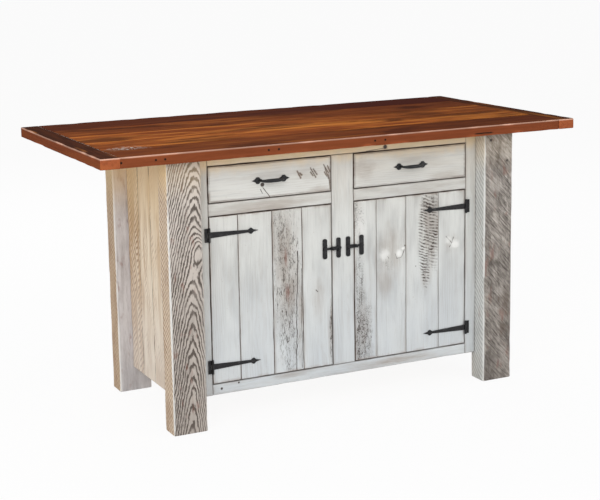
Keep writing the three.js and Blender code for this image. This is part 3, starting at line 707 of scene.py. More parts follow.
def arches(wood, fibres):
    """Nested arches one above another about a leaning centre line, with long steep legs.

    The phase of the lines rises with the height, slower low down, and with the distance from
    the centre line, rounded off near it, so that each line is an arch. A swirl turns the lines
    at the right edge, and short dark dashes fill the left half low down.
    """
    sway = wood.noise(0.10, 0.18, 2.0, salt=15.0) - 0.5
    ripple = wood.noise(0.012, 0.030, 3.0, 0.6, salt=16.0) - 0.5
    aside = wood.across - wood.along * 0.032 - 0.021 + sway * 0.016
    left = wood.most(aside * -1, 0.0)
    right = wood.most(aside, 0.0)
    low_down = 1 - wood.smooth(wood.height, 0.05, 0.55)
    bend = 0.036 - low_down * 0.014
    legs = (wood.math("SQRT", left * left + bend * bend) - bend) * 140
    legs = legs + (wood.math("SQRT", right * right + 0.0004) - 0.020) * (low_down * 60 + 115)
    from_edge = (wood.raw_across + 0.526) / 0.032
    above = (wood.height - 0.588) / 0.055
    swirl = wood.math("EXPONENT", from_edge * from_edge * -1 - above * above) * 4.2
    rise = wood.along * 26 + wood.along * wood.along * 7
    phase = rise + legs + sway * 2.2 + ripple * 1.3 - swirl
    ragged = wood.fraction(phase) + (fibres - 0.5) * 0.45
    late = wood.smooth(ragged, 0.38, 0.66) * (1 - wood.smooth(ragged, 0.86, 1.0))
    strength = wood.noise(0.035, 0.09, 3.0, salt=17.0)
    scratches = wood.smooth(wood.noise(0.012, 0.0035, 3.0, salt=18.0), 0.60, 0.74)
    pores = wood.smooth(fibres, 0.58, 0.82)
    dashes = wood.smooth(wood.noise(0.0030, 0.010, 3.0, 0.65, salt=19.0), 0.46, 0.66)
    dashes = dashes * wood.smooth(left, 0.008, 0.036) * (low_down * 0.45 + 0.15)
    return late * (strength * 1.5 + 0.22) + pores * 0.25 + scratches * 0.22 + dashes


def cross_sawn(wood, fibres):
    """Diagonal marks of a saw over grey wood: noise stretched along a slope, in two finenesses."""
    down = wood.across + wood.along * 0.92
    over = wood.along - wood.across * 0.92
    fine_place = wood.value("CombineXYZ", None, {0: down * 480, 1: wood.out * 120, 2: over * 24})
    broad_place = wood.value("CombineXYZ", None, {0: down * 150, 1: wood.out * 60, 2: over * 14})
    fine = wood.noise_at(fine_place, 4.0, 0.75)
    broad = wood.noise_at(broad_place, 3.0, 0.6)
    worn = wood.noise(0.030, 0.08, 3.0, salt=14.0)
    return wood.smooth(fine * 0.95 + broad * 0.28 + fibres * 0.35 + worn * 0.36, 0.76, 1.14)


def fine_grain(wood, fibres):
    """Close straight grain, faint."""
    broad = wood.noise(0.012, 0.22, 3.0, salt=13.0)
    return wood.smooth(fibres * 0.7 + broad * 0.5, 0.48, 0.85) * 0.8


SIDE_BOARDS = 4
BACK_BOARDS = 9


def rear_joint():
    """Where the rearmost side board meets the one before it."""
    low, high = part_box("side_panel_left")
    return low[Y] + (high[Y] - low[Y]) * (SIDE_BOARDS - 1) / SIDE_BOARDS


def side_boarding(wood, colours):
    """Thin beige wash over warm boards, sawn most on the rear one, with a dark seam at each joint."""
    fibres = wood.noise(0.0018, 0.06, 4.0, 0.6, salt=1.0)
    smudge = wood.noise(0.03, 0.16, 3.0, 0.5, salt=3.0)
    streaks = wood.noise(0.009, 0.30, 3.0, 0.55, salt=5.0)
    slope = wood.wave((wood.along + wood.across * 1.2) / 0.023 + smudge * 2.0)
    joint = rear_joint()
    rear = wood.smooth(wood.raw[Y], joint - 0.002, joint + 0.002)
    sawn_here = wood.smooth(wood.noise(0.05, 0.14, 2.0, salt=7.0), 0.46, 0.66) * 0.5 + rear * 0.9
    saw = wood.smooth(slope * 0.6 + fibres * 0.8, 0.68, 0.92) * sawn_here
    dark_streaks = wood.smooth(wood.noise(0.0035, 0.09, 3.0, 0.6, salt=9.0), 0.58, 0.70)
    knots = wood.smooth(wood.noise(0.016, 0.045, 3.0, salt=8.0), 0.67, 0.78)
    to_side = wood.half_across - wood.size_of(wood.across)
    seam = 1 - wood.smooth(to_side + (fibres - 0.5) * 0.001, 0.0006, 0.0026)
    tint = wood.coats(
        colours.side_pale,
        (wood.smooth(smudge, 0.42, 0.70) * 0.60, colours.side_wood),
        (wood.smooth(streaks, 0.50, 0.66) * 0.65, colours.side_wood),
        (dark_streaks * 0.50, colours.post_side_dark),
        (wood.smooth(fibres, 0.52, 0.8) * 0.25, colours.veil),
        (rear * wood.smooth(smudge, 0.40, 0.60) * 0.55, colours.side_wood),
        (saw * 0.80, colours.post_side_dark),
        (knots * 0.5, colours.post_side_dark),
        (wood.board_tint * 0.30, colours.side_wood),
        (wood.smooth(wood.raw[Y], -0.04, 0.10) * 0.40, colours.side_wood),
        ((1 - wood.smooth(wood.height, 0.10, 0.62)) * 0.36, colours.plain_pale),
        # painted warm bounce light from the worktop, high on the side boards
        (wood.smooth(wood.height, 0.55, 0.84) * 0.72, colours.painted_bounce),
        (seam * 0.75, colours.glaze),
    )
    height = fibres * 0.4 - saw * 0.3 + streaks * 0.2
    return wood.finish(tint, 0.74, height, 0.0008)


def stained(wood, colours, base, light, deep=0.0, bright=1.0, old=(), holes=(), pale=()):
    """Oiled stain, streaked along the grain, with dark marks, and a painted highlight along the worktop's
    outer arris.

    Deep is how far the plank took the stain, and bright how far its pale streaks show.
    """
    streaks = wood.noise(0.0065, 0.20, 4.0, 0.62, 0.5, salt=1.0)
    bands = wood.noise(0.030, 0.28, 4.0, 0.58, 0.7, salt=2.0)
    clouds = wood.noise(0.09, 0.34, 3.0, 0.5, 0.4, salt=4.0)
    fibres = wood.noise(0.0011, 0.045, 3.0, 0.6, salt=3.0)
    lines = wood.rings(wood.half_across * 0.4, 0.03, 0.008, 0.08, 0.03)
    glow = wood.smooth(bands * 0.6 + clouds * 0.4, 0.40, 0.60)
    gold = wood.smooth(wood.noise(0.045, 0.50, 3.0, 0.5, 0.3, salt=8.0), 0.52, 0.64)
    shadow = wood.smooth(bands * 0.30 + clouds * 0.70, 0.49, 0.60)
    to_right = wood.smooth(wood.raw[X], -0.2, 0.8) * 0.45
    flecks = wood.smooth(wood.noise(0.004, 0.03, 3.0, salt=6.0), 0.66, 0.74)
    old = gather(wood, old)
    burnt = old * wood.smooth(fibres * 0.5 + streaks * 0.5, 0.35, 0.55)
    whitened = gather(wood, pale) * wood.smooth(wood.noise(0.012, 0.0075, 3.0, 0.6, salt=7.0), 0.47, 0.55)
    holed = gather(wood, holes)

    lower, upper = TOP_LEVELS
    depth_below = wood.size_of(wood.height - (lower + upper) / 2) - (upper - lower) / 2
    half_length, half_depth = CAD_BOUNDS[1][X], CAD_BOUNDS[1][Y]
    outermost = wood.most(
        wood.smooth(wood.size_of(wood.raw[X]), half_length - 0.009, half_length - 0.004),
        wood.smooth(wood.size_of(wood.raw[Y]), half_depth - 0.009, half_depth - 0.004),
    )
    on_edge = (1 - wood.smooth(depth_below, -0.0016, -0.0004)) * outermost
    # painted highlight along the worktop's outer arris
    arris_highlight = wood.smooth(depth_below, -0.0064, -0.0030) * wood.smooth(wood.height, 0.89, 0.90)
    arris_highlight = arris_highlight * on_edge * (wood.smooth(fibres, 0.25, 0.55) * 0.6 + 0.4)
    to_side = wood.half_across - wood.size_of(wood.across)
    seam = 1 - wood.smooth(to_side, 0.0004, 0.0018)

    tint = wood.coats(
        base,
        (glow * bright, light),
        (gold * bright * 0.60, colours.stain_gold),
        (shadow * 0.66, colours.stain_dark),
        (wood.smooth(streaks, 0.48, 0.70) * 0.42, colours.stain_dark),
        (lines * wood.smooth(clouds, 0.35, 0.6) * 0.36, colours.stain_dark),
        (wood.smooth(fibres, 0.52, 0.8) * 0.30, colours.stain_dark),
        (to_right * 0.65, colours.stain_dark),
        ((bands * 0.5 + 0.75) * (to_right + 0.80) * deep, colours.stain_deep),
        (flecks * 0.6, colours.stain_dark),
        (burnt * 0.85, colours.stain_dark),
        (whitened * 0.9, colours.grain_pale),
        (on_edge * (wood.smooth(streaks, 0.35, 0.62) * 0.25 + 0.65), colours.stain_edge),
        (arris_highlight * 0.85, colours.painted_arris_highlight),
        (seam * 0.45, colours.stain_dark),
        (holed, colours.old_wood),
        (holed * 0.75, (0.0, 0.0, 0.0)),
    )
    rough = fibres * 0.15 + 0.40 + old * 0.2
    height = fibres * 0.25 + streaks * 0.15 - lines * 0.1 - holed * 1.5
    return wood.finish(tint, rough, height, 0.0005, coat=0.02, specular=0.0)


def bare_wood(wood, colours):
    """Sanded bare wood: fine fibres, ring lines and a few small knots."""
    fibres = wood.noise(0.0014, 0.08, 4.0, 0.6, salt=1.0)
    cloud = wood.noise(0.06, 0.30, 2.0, salt=3.0)
    lines = wood.rings(0.03, 0.025, 0.008, 0.06, 0.02)
    knots = wood.smooth(wood.noise(0.018, 0.04, 2.0, salt=8.0), 0.74, 0.80)
    tint = wood.coats(
        colours.bare,
        (lines * 0.45 + wood.smooth(fibres, 0.5, 0.8) * 0.25, colours.bare_line),
        (wood.smooth(cloud, 0.5, 0.75) * 0.3, colours.side_pale),
        (knots * 0.7, colours.rust),
    )
    return wood.finish(tint, 0.62, fibres * 0.4 - lines * 0.2, 0.0005)


def forged_iron(name, colours):
    """Hammered black iron, rubbed a little paler on its high spots."""
    graph = Graph(bpy.data.materials.new(name))
    place = graph.place()
    hammering = {"Vector": place, "Scale": 210.0, "Smoothness": 0.8}
    dents = graph.value("TexVoronoi", {"feature": "SMOOTH_F1"}, hammering)
    fine_place = graph.value("VectorMath", {"operation": "SCALE"}, {0: place, "Scale": 900.0})
    grit = graph.noise_at(fine_place, 3.0)
    broad_place = graph.value("VectorMath", {"operation": "SCALE"}, {0: place, "Scale": 60.0})
    broad = graph.noise_at(broad_place, 2.0)
    worn = graph.smooth(broad + dents * 0.3, 0.62, 0.9) * 0.6
    tint = graph.mix(worn, colours.iron, colours.iron_worn)
    rough = grit * 0.2 + 0.36
    return graph.finish(tint, rough, dents * 0.8 + grit * 0.15, 0.0007, metallic=0.35)


# ---------------------------------------------------------------- pieces


END_SHARE = 0.8  # rounding of a board's ends, as a share of the rounding of its edges


def worn_board(node, grain, material, radius, sizes, relief, seed, trim=0.0, wear=1.0):
    """A rectangular board with rounded, worn edges in the place of its node."""
    low, high = corners_of(node)
    across_axes = [axis for axis in (X, Y, Z) if axis != grain]
    corners = rectangle(low[across_axes], high[across_axes])
    profile = section(corners, [radius] * 4, sizes.spacing)
    span = (low[grain] + trim, high[grain] - trim)
    end_round = radius * END_SHARE
    shell = timber(profile, span, grain, sizes.wear * wear, relief, end_round, sizes.spacing, seed)
    replace_node(node, "worn", [shell], material)


TONGUE = 0.022  # ends of the planks that the end boards' grooves hide, left off
JOINT_ARRIS = 0.0009  # rounding between two planks of the worktop
NAIL_HOLES = (-0.797, -0.687, -0.657, -0.311, -0.276, 0.070, 0.108)
NAIL_HOLE_RADIUS = 0.0042
NAIL_HOLE_HEIGHT = 0.8965
SPLIT_HEIGHT = 0.889

# how deeply each plank took the stain and how far its pale streaks show, from the front
PLANK_STAIN = ((0.50, 0.40), (0.0, 1.0), (0.05, 0.80), (0.38, 0.50), (0.95, 0.20))


class ISLAND_OT_worktop(Operator):
    """Builds the worktop's planks and end boards"""

    bl_idname = "island.worktop"
    bl_label = "Worktop"

    def execute(self, context):
        sizes = context.scene.island_sizes
        colours = context.scene.island_colours
        burns = [
            patch((0.165, 0.560), (0.060, 0.085)),
            patch((-0.125, 0.315), (0.045, 0.060)),
            patch((-0.02, -0.12), (0.030, 0.100), 0.5),
            patch((0.19, -0.46), (0.045, 0.190), 0.8),
        ]
        scuffed = [patch((-0.262, -0.715), (0.046, 0.088), 1.0, 0.5)]
        in_front = [*(nail_hole(x) for x in NAIL_HOLES), split_in_front(0.45, 0.53)]
        tones = (colours.stain, colours.stain_light)
        relief = [(sizes.ripple * 1.5, (0.35, 0.05, 0.05))]
        for number, (deep, bright) in enumerate(PLANK_STAIN, 1):
            node = f"worktop_plank_{number}"
            holes = in_front if number == 1 else ()
            wood = Wood(node, X, Z, 10 + number)
            finish = stained(wood, colours, *tones, deep, bright, burns, holes, scuffed)
            arris = sizes.top_arris if number in (1, len(PLANK_STAIN)) else JOINT_ARRIS
            worn_board(node, X, finish, arris, sizes, relief, number, trim=TONGUE)
        tones = (colours.breadboard, colours.breadboard_light)
        relief = [(sizes.ripple * 1.5, (0.05, 0.25, 0.05))]
        for side, way in SIDES.items():
            node = f"worktop_end_{side}"
            joint = [crack((-0.8012, -0.42), (-0.8012, 0.42), 0.0026, 0.0015)] if way < 0 else ()
            finish = stained(Wood(node, Y, Z, 30 + way), colours, *tones, bright=0.6, pale=joint)
            worn_board(node, Y, finish, sizes.top_arris, sizes, relief, 8 + way)
        return {"FINISHED"}


def nail_hole(x):
    """A nail hole in the worktop's front edge."""

    def mark(wood):
        sideways = (wood.raw[X] - x) / NAIL_HOLE_RADIUS
        upright = (wood.height - NAIL_HOLE_HEIGHT) / NAIL_HOLE_RADIUS
        distance = wood.math("SQRT", sideways * sideways + upright * upright)
        front = CAD_BOUNDS[0][Y]
        in_front = 1 - wood.smooth(wood.raw[Y], front + 0.0035, front + 0.0045)
        return (1 - wood.smooth(distance, 0.6, 1.0)) * in_front

    return mark


def split_in_front(start, end):
    """A dark split in the worktop's front edge, in its lower half."""

    def mark(wood):
        middle = (start + end) / 2
        reach = (end - start) / 2
        waver = (wood.noise(0.01, 0.02, 3.0, salt=44.0) - 0.5) * 0.006
        upright = wood.size_of(wood.height - SPLIT_HEIGHT + waver)
        inside = 1 - wood.smooth(wood.size_of(wood.raw[X] - middle), reach * 0.7, reach)
        return (1 - wood.smooth(upright, 0.0008, 0.0026)) * inside

    return mark


class ISLAND_OT_posts(Operator):
    """Builds the four rough-sawn posts"""

    bl_idname = "island.posts"
    bl_label = "Posts"

    def execute(self, context):
        sizes = context.scene.island_sizes
        colours = context.scene.island_colours
        sides = (colours.post_side, colours.post_side_dark)
        back_sides = (colours.post_side_deep, colours.post_side_dark)
        washed_sides = (colours.wash, colours.wash_shade)
        spots = [hole((0.550, 0.855), 0.006), hole((0.617, 0.780), 0.005)]
        stains = [patch((0.614, 0.275), (0.030, 0.075), 0.55), patch((0.606, 0.185), (0.024, 0.040), 0.5)]
        grained = (colours.grain_pale, colours.grain_dark)
        sawn = (colours.sawn_pale, colours.sawn_dark)
        plain = (colours.plain_pale, colours.plain_dark)
        # each post: pattern, tones, holes, stains, then where the painted bounce light under the worktop
        # starts and its strength on the front and on the sides
        posts = {
            "post_front_left": (arches, (*grained, *sides), (), (), 0.74, 0.2, 0.9),
            "post_front_right": (cross_sawn, (*sawn, *washed_sides), spots, stains, 0.72, 0.1, 0.4),
            "post_back_left": (fine_grain, (*plain, *back_sides), (), (), 0.60, 0.85, 0.85),
            "post_back_right": (cross_sawn, (*sawn, *back_sides), (), (), 0.78, 0.3, 0.8),
        }
        relief = [(sizes.sawn, (0.030, 0.030, 0.200)), (sizes.sawn * 0.6, (0.012, 0.012, 0.014))]
        for seed, (node, looks) in enumerate(posts.items()):
            finish = post_finish(Wood(node, Z, Y, 50 + seed), colours, *looks)
            worn_board(node, Z, finish, sizes.post_arris, sizes, relief, 60 + seed, wear=1.3)
        return {"FINISHED"}


class ISLAND_OT_face_frame(Operator):
    """Builds the stiles and rails of the face frame"""

    bl_idname = "island.face_frame"
    bl_label = "Face frame"

    def execute(self, context):
        sizes = context.scene.island_sizes
        colours = context.scene.island_colours
        knot = {
            "holes": [hole((0.857, 0.163), 0.0085)],
            "old": [crack((0.8475, 0.090), (0.853, 0.163), 0.0010, 0.001)],
            "rust": [patch((0.856, 0.163), (0.014, 0.014), 0.8, 0.2)],
        }
        dents = {
            "holes": [hole((0.115, -0.451), 0.005), hole((0.126, -0.390), 0.004)],
            "veils": [patch((0.112, 0.20), (0.020, 0.220), 0.8), patch((0.120, -0.20), (0.012, 0.10), 0.4)],
        }
        parts = {
            "stile_left": (Z, {}, 1.0),
            "stile_centre": (Z, {}, 0.8),
            # the right stile's wash is kept light (0.3) as painted light against the shade of the front
            # right post beside it
            "stile_right": (Z, {}, 0.3),
            "rail_top": (X, knot, 0.5),
            "rail_mid_left": (X, {"veils": [patch((0.700, -0.26), (0.03, 0.22), 0.6)]}, 1.0),
            "rail_mid_right": (X, {"veils": [patch((0.705, 0.33), (0.03, 0.20), 0.5)]}, 1.0),
            "rail_bottom": (X, dents, 1.0),
        }
        for seed, (node, (grain, wear, thin)) in enumerate(parts.items()):
            finish = washed(Wood(node, grain, Y, 70 + seed), colours, wear, glaze=0.55, thin=thin)
            size = (0.06, 0.06, 0.2) if grain == Z else (0.2, 0.06, 0.06)
            worn_board(node, grain, finish, sizes.board_arris, sizes, [(sizes.ripple, size)], 80 + seed)
        return {"FINISHED"}


BOARDING_THICK = 0.019
BOARD_GAP = 0.0002
BOARD_END = 0.001  # rounding of the ends
CLEAT_WIDTH = 0.025
CLEAT_ARRIS, CLEAT_END, CLEAT_WEAR = 0.001, 0.0008, 0.0004
CLEAT_LAP = 0.001  # how far a strip reaches into the boarding that carries it


def boarding(node, face, sizes, inside, boards, seed):
    """Upright boards side by side, as separate shells, for a side or back panel."""
    low, high = corners_of(node)
    width_axis = 3 - Z - face
    outer = low[face] if inside > 0 else high[face]
    edges = np.linspace(low[width_axis], high[width_axis], boards + 1)
    relief = [(sizes.ripple, (0.05, 0.05, 0.2))]
    height = (low[Z], high[Z])
    shells = []
    for number in range(boards):
        spans = {
            face: sorted((outer, outer + inside * BOARDING_THICK)),
            width_axis: (edges[number] + BOARD_GAP / 2, edges[number + 1] - BOARD_GAP / 2),
        }
        corners = rectangle(*zip(spans[X], spans[Y]))
        profile = section(corners, [sizes.seam_arris] * 4, sizes.spacing)
        board = timber(profile, height, Z, sizes.wear, relief, BOARD_END, sizes.spacing, seed + number)
        shells.append(board)
    return shells


class ISLAND_OT_boarding(Operator):
    """Builds the side and back boarding, with the strips inside that carry the shelves"""

    bl_idname = "island.boarding"
    bl_label = "Boarding"

    def execute(self, context):
        sizes = context.scene.island_sizes
        colours = context.scene.island_colours
        for side, way in SIDES.items():
            node = f"side_panel_{side}"
            low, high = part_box(node)
            inner, outer = (low[X], high[X]) if way > 0 else (high[X], low[X])
            across = sorted((inner, outer - way * (BOARDING_THICK - CLEAT_LAP)))
            shells = boarding(node, X, sizes, -way, SIDE_BOARDS, 100 + 10 * way)
            for top in cleat_tops():
                corners = rectangle((across[0], top - CLEAT_WIDTH), (across[1], top))
                profile = section(corners, [CLEAT_ARRIS] * 4, sizes.spacing)
                span = (low[Y], high[Y])
                shells.append(timber(profile, span, Y, CLEAT_WEAR, [], CLEAT_END, sizes.spacing, 3))
            finish = side_boarding(Wood(node, Z, X, 90 + way, SIDE_BOARDS), colours)
            replace_node(node, "boards", shells, finish)
        shells = boarding("back_panel", Y, sizes, -1, BACK_BOARDS, 120)
        finish = washed(Wood("back_panel", Z, Y, 95, BACK_BOARDS), colours, glaze=0.8)
        replace_node("back_panel", "boards", shells, finish)
        return {"FINISHED"}


def cleat_tops():
    """Heights of the strips' tops: just under the floor, the shelf, the deck and the worktop."""
    carried = ("cupboard_floor", "cupboard_shelf", "drawer_deck", "worktop_plank_1")
    return [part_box(node)[0][Z] - SEAT for node in carried]


def dress(node, material):
    """Gives a node of the frame its finish."""
    frame["nodes"][node].material_slots[0].material = material


def inner_boards():
    """Grain and face of each board inside the unit."""
    boards = dict.fromkeys(("cupboard_floor", "cupboard_shelf", "drawer_deck"), (X, Z))
    for side in SIDES:
        boards |= dict.fromkeys((f"drawer_{side}_side_inner", f"drawer_{side}_side_outer"), (Y, X))
        boards |= {f"drawer_{side}_back": (X, Y), f"drawer_{side}_bottom": (X, Z)}
    return boards | {f"door_{side}_brace": (X, Y) for side in SIDES}


class ISLAND_OT_inner_boards(Operator):
    """Finishes the floor, shelf, deck, drawer boxes and door braces"""

    bl_idname = "island.inner_boards"
    bl_label = "Inner boards"

    def execute(self, context):
        colours = context.scene.island_colours
        for seed, (node, (grain, face)) in enumerate(inner_boards().items()):
            dress(node, bare_wood(Wood(node, grain, face, 130 + seed), colours))
        return {"FINISHED"}


# start and end of each scrape on the left drawer front
SCRAPES = (
    ((0.806, -0.166), (0.778, -0.152)),
    ((0.798, -0.158), (0.788, -0.147)),
    ((0.812, -0.118), (0.776, -0.098)),
    ((0.808, -0.108), (0.784, -0.093)),
    ((0.798, -0.118), (0.782, -0.107)),
    ((0.818, -0.070), (0.786, -0.050)),
    ((0.808, -0.064), (0.768, -0.052)),
    ((0.814, -0.055), (0.790, -0.045)),
    ((0.794, -0.067), (0.776, -0.058)),
    ((0.784, -0.054), (0.754, -0.046)),
    ((0.766, -0.049), (0.733, -0.045)),
)


class ISLAND_OT_drawer_fronts(Operator):
    """Finishes the two drawer fronts, with the left one's knot, cracks and scrapes"""

    bl_idname = "island.drawer_fronts"
    bl_label = "Drawer fronts"

    def execute(self, context):
        colours = context.scene.island_colours
        wear = {
            "left": {
                "old": [
                    *(crack(start, end, 0.0009, 0.002) for start, end in SCRAPES),
                    crack((0.762, -0.290), (0.729, -0.264), 0.0012),
                    crack((0.757, -0.299), (0.742, -0.291), 0.0010),
                ],
                "holes": [hole((0.771, -0.291), 0.0085)],
                "veils": [
                    patch((0.80, -0.115), (0.045, 0.080), 0.3),
                    patch((0.735, -0.08), (0.02, 0.06), 0.4),
                    *(crack(start, end, 0.0036, 0.003) for start, end in SCRAPES),
                ],
            },
            "right": {
                "veils": [patch((0.79, 0.08), (0.05, 0.06), 0.55), patch((0.74, 0.40), (0.02, 0.09), 0.3)],
            },
        }
        for seed, (side, (thin, warm)) in enumerate({"left": (0.2, 0.4), "right": (0.8, 1.0)}.items()):
            node = f"drawer_{side}_front"
            wood = Wood(node, X, Y, 150 + seed)
            dress(node, washed(wood, colours, wear[side], thin=thin, warm=warm, bead=0.0048))
        return {"FINISHED"}


DOOR_PLANKS = 4
DOOR_PLANK_END = 0.0012  # rounding of the ends
TONGUE_DOOR = 0.005
TONGUE_HALF = 0.003


def plank_outline(node, side, first, last, sizes):
    """Plan of a door plank with a groove towards its hinge and a tongue away from it."""
    low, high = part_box(node)
    near, far = (low[X], high[X]) if side < 0 else (high[X], low[X])
    way = -side
    body_far = far if last else far - way * TONGUE_DOOR
    front, back = low[Y], high[Y]
    middle = (front + back) / 2
    corners = [(near, front), (body_far, front)]
    radii = [sizes.seam_arris, sizes.seam_arris]
    if not last:
        corners += [(body_far, middle - TONGUE_HALF), (far, middle - TONGUE_HALF)]
        corners += [(far, middle + TONGUE_HALF), (body_far, middle + TONGUE_HALF)]
        radii += [0, 0, 0, 0]
    corners += [(body_far, back), (near, back)]
    radii += [0, 0]
    if not first:
        deep = near + way * (TONGUE_DOOR + SEAT)
        above, below = middle + TONGUE_HALF + SEAT, middle - TONGUE_HALF - SEAT
        corners += [(near, above), (deep, above), (deep, below), (near, below)]
        radii += [0, 0, 0, 0]
    return section(corners, radii, sizes.spacing)


# marks on the planks, which are counted from the hinge
DOOR_WEAR = {
    "door_left_plank_3": {
        "old": [
            weathering((-0.206, 0.440), (0.075, 0.360), 0.062, 0.0, 0.011),
            weathering((-0.216, 0.520), (0.030, 0.200), 0.074, 2.0, 0.010),
            weathering((-0.236, 0.600), (0.030, 0.120), 0.062, 4.0, 0.007),
            weathering((-0.205, 0.25), (0.050, 0.170), 0.070, 3.0),
            crack((-0.170, 0.540), (-0.178, 0.12), 0.0015, 0.009),
            crack((-0.156, 0.48), (-0.158, 0.14), 0.0009, 0.006),
        ],
        "veils": [patch((-0.210, 0.50), (0.075, 0.320), 0.7), patch((-0.16, 0.30), (0.02, 0.20), 0.7)],
        "rust": [patch((-0.212, 0.520), (0.010, 0.045), 0.6), patch((-0.208, 0.405), (0.011, 0.040), 0.7)],
    },
    "door_left_plank_4": {
        "old": [
            crack((-0.104, 0.400), (-0.096, 0.392), 0.0014),
            weathering((-0.046, 0.26), (0.010, 0.15), 0.12),
        ],
        "veils": [patch((-0.095, 0.365), (0.032, 0.100), 0.35), patch((-0.050, 0.25), (0.014, 0.15), 0.7)],
    },
    "door_right_plank_4": {
        "old": [
            weathering((0.060, 0.600), (0.034, 0.110), 0.075, 1.0, 0.005),
            weathering((0.062, 0.420), (0.022, 0.150), 0.085, 2.0, 0.004),
            weathering((0.070, 0.230), (0.052, 0.180), 0.100, 3.0, 0.005),
        ],
        "veils": [patch((0.070, 0.240), (0.045, 0.170), 0.4), patch((0.060, 0.600), (0.030, 0.110), 0.4)],
        "knots": [patch((0.066, 0.590), (0.030, 0.085), 0.55)],
    },
    "door_right_plank_3": {
        "old": [
            weathering((0.165, 0.455), (0.040, 0.050), 0.05, 4.0, 0.004),
            crack((0.200, 0.488), (0.206, 0.472), 0.0008, 0.001),
            crack((0.205, 0.471), (0.224, 0.473), 0.0010, 0.001),
            crack((0.225, 0.474), (0.241, 0.508), 0.0010, 0.001),
            crack((0.168, 0.484), (0.176, 0.474), 0.0010, 0.001),
            hole((0.239, 0.512), 0.0034),
        ],
        "veils": [patch((0.180, 0.500), (0.070, 0.120), 0.55), patch((0.160, 0.40), (0.05, 0.08), 0.4)],
        "knots": [
            patch((0.216, 0.487), (0.018, 0.020), 1.0, 0.1),
            patch((0.232, 0.503), (0.012, 0.007), 1.0, 0.1),
            patch((0.160, 0.488), (0.026, 0.030), 0.7),
        ],
    },
    "door_right_plank_2": {
        "old": [
            saw_marks((0.340, 0.655), (0.042, 0.045), 0.0125, 26.0, 0.0, 0.16),
            saw_marks((0.314, 0.530), (0.024, 0.170), 0.0105, 34.0, 2.0, 0.03),
            saw_marks((0.351, 0.540), (0.026, 0.150), 0.0108, 24.0, 4.0, 0.10),
            saw_marks((0.322, 0.410), (0.018, 0.070), 0.0105, 30.0, 6.0),
            hole((0.281, 0.435), 0.0020),
        ],
        "veils": [patch((0.336, 0.560), (0.056, 0.200), 0.55), patch((0.322, 0.42), (0.03, 0.09), 0.5)],
    },
    "door_right_plank_1": {
        "old": [
            crack((0.403, 0.526), (0.427, 0.500), 0.0013, 0.001),
            crack((0.433, 0.521), (0.426, 0.499), 0.0013, 0.001),
            crack((0.428, 0.502), (0.416, 0.486), 0.0013, 0.001),
            hole((0.440, 0.490), 0.0020),
        ],
        "knots": [patch((0.438, 0.495), (0.026, 0.022), 0.85), patch((0.412, 0.512), (0.018, 0.020), 0.6)],
        "veils": [patch((0.425, 0.500), (0.040, 0.050), 0.35)],
    },
}


class ISLAND_OT_door_planks(Operator):
    """Builds the tongued and grooved planks of both doors"""

    bl_idname = "island.door_planks"
    bl_label = "Door planks"

    def execute(self, context):
        sizes = context.scene.island_sizes
        colours = context.scene.island_colours
        relief = [(sizes.ripple * 0.5, (0.05, 0.05, 0.15))]
        for side, way in SIDES.items():
            for number in range(1, DOOR_PLANKS + 1):
                node = f"door_{side}_plank_{number}"
                seed = 160 + 10 * way + number
                thin = 0.9 if way < 0 else 1.2
                finish = washed(Wood(node, Z, Y, seed), colours, DOOR_WEAR.get(node), thin=thin)
                profile = plank_outline(node, way, number == 1, number == DOOR_PLANKS, sizes)
                low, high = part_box(node)
                span = (low[Z], high[Z])
                shell = timber(profile, span, Z, sizes.wear, relief, DOOR_PLANK_END, sizes.spacing, seed)
                replace_node(node, "worn", [shell], finish)
        return {"FINISHED"}


SECTION_SIDES = 16


def rounded_bar(centres, half_widths, half_depths, width_way, depth_ways, power=0.34):
    """Closed forged bar: a superellipse carried along a line of centres.

    Round each centre a point lies at the half width times a signed power of the cosine, and at the
    half depth times the same power of the sine. A low power gives a square bar, and 1 a round one.
    """
    turn = np.arange(SECTION_SIDES) / SECTION_SIDES * 2 * math.pi
    sideways = np.sign(np.cos(turn)) * np.abs(np.cos(turn)) ** power
    outwards = np.sign(np.sin(turn)) * np.abs(np.sin(turn)) ** power
    across = np.asarray(half_widths)[:, None, None] * sideways[None, :, None] * np.asarray(width_way)
    deep = np.asarray(half_depths)[:, None, None] * outwards[None, :, None] * np.asarray(depth_ways)
    return tube(np.asarray(centres)[:, None, :] + across + deep)


def eased(places, knots):
    """Heights that pass through (place, height) knots, level at each of them."""
    at, height = np.array(knots).T
    index = np.clip(np.searchsorted(at, places, side="right") - 1, 0, len(at) - 2)
    share = np.clip((places - at[index]) / (at[index + 1] - at[index]), 0, 1)
    share = share * share * (3 - 2 * share)
    return height[index] + (height[index + 1] - height[index]) * share


def hammered(values, amount, seed):
    """Values made uneven along a piece, as a hammer leaves them, never larger than they were."""
    steps = np.arange(len(values))[:, None] * np.array([[0.6, 0.0, 0.0]])
    return values - amount * soft_noise(steps, (1.0, 1.0, 1.0), seed) * (values > 2 * amount)


FACE_DENTS = 0.06  # how far the hammer dents a strip's face, as a share of its thickness
EDGE_DENTS = 0.0003


def strip(start, way, lengths, half_widths, width_way, thick, seed):
    """Forged strip lying flat: its back on the plane of "start", its front towards -Y."""
    centres = np.asarray(start) + np.asarray(lengths)[:, None] * np.asarray(way)
    centres = centres + np.array([0, -thick / 2, 0])
    half_depths = hammered(np.full(len(lengths), thick / 2), thick * FACE_DENTS, seed)
    widths = hammered(np.asarray(half_widths), EDGE_DENTS, seed + 1)
    return rounded_bar(centres, widths, half_depths, width_way, [[[0, -1, 0]]])


def plate(middle, half_width, half_height, corner, thick, seed):
    """Upright strip whose ends are rounded by the corner radius."""
    from_end = np.concatenate([corner * (1 - np.cos(np.linspace(0.15, math.pi / 2, 6))), [half_height]])
    places = np.concatenate([from_end - half_height, -(from_end - half_height)[-2::-1]])
    inside = np.minimum(half_height - np.abs(places), corner)
    widths = half_width - corner + np.sqrt(corner**2 - (corner - inside) ** 2)
    return strip(middle, (0, 0, 1), places, widths, (1, 0, 0), thick, seed)


TURN_STEPS = 24


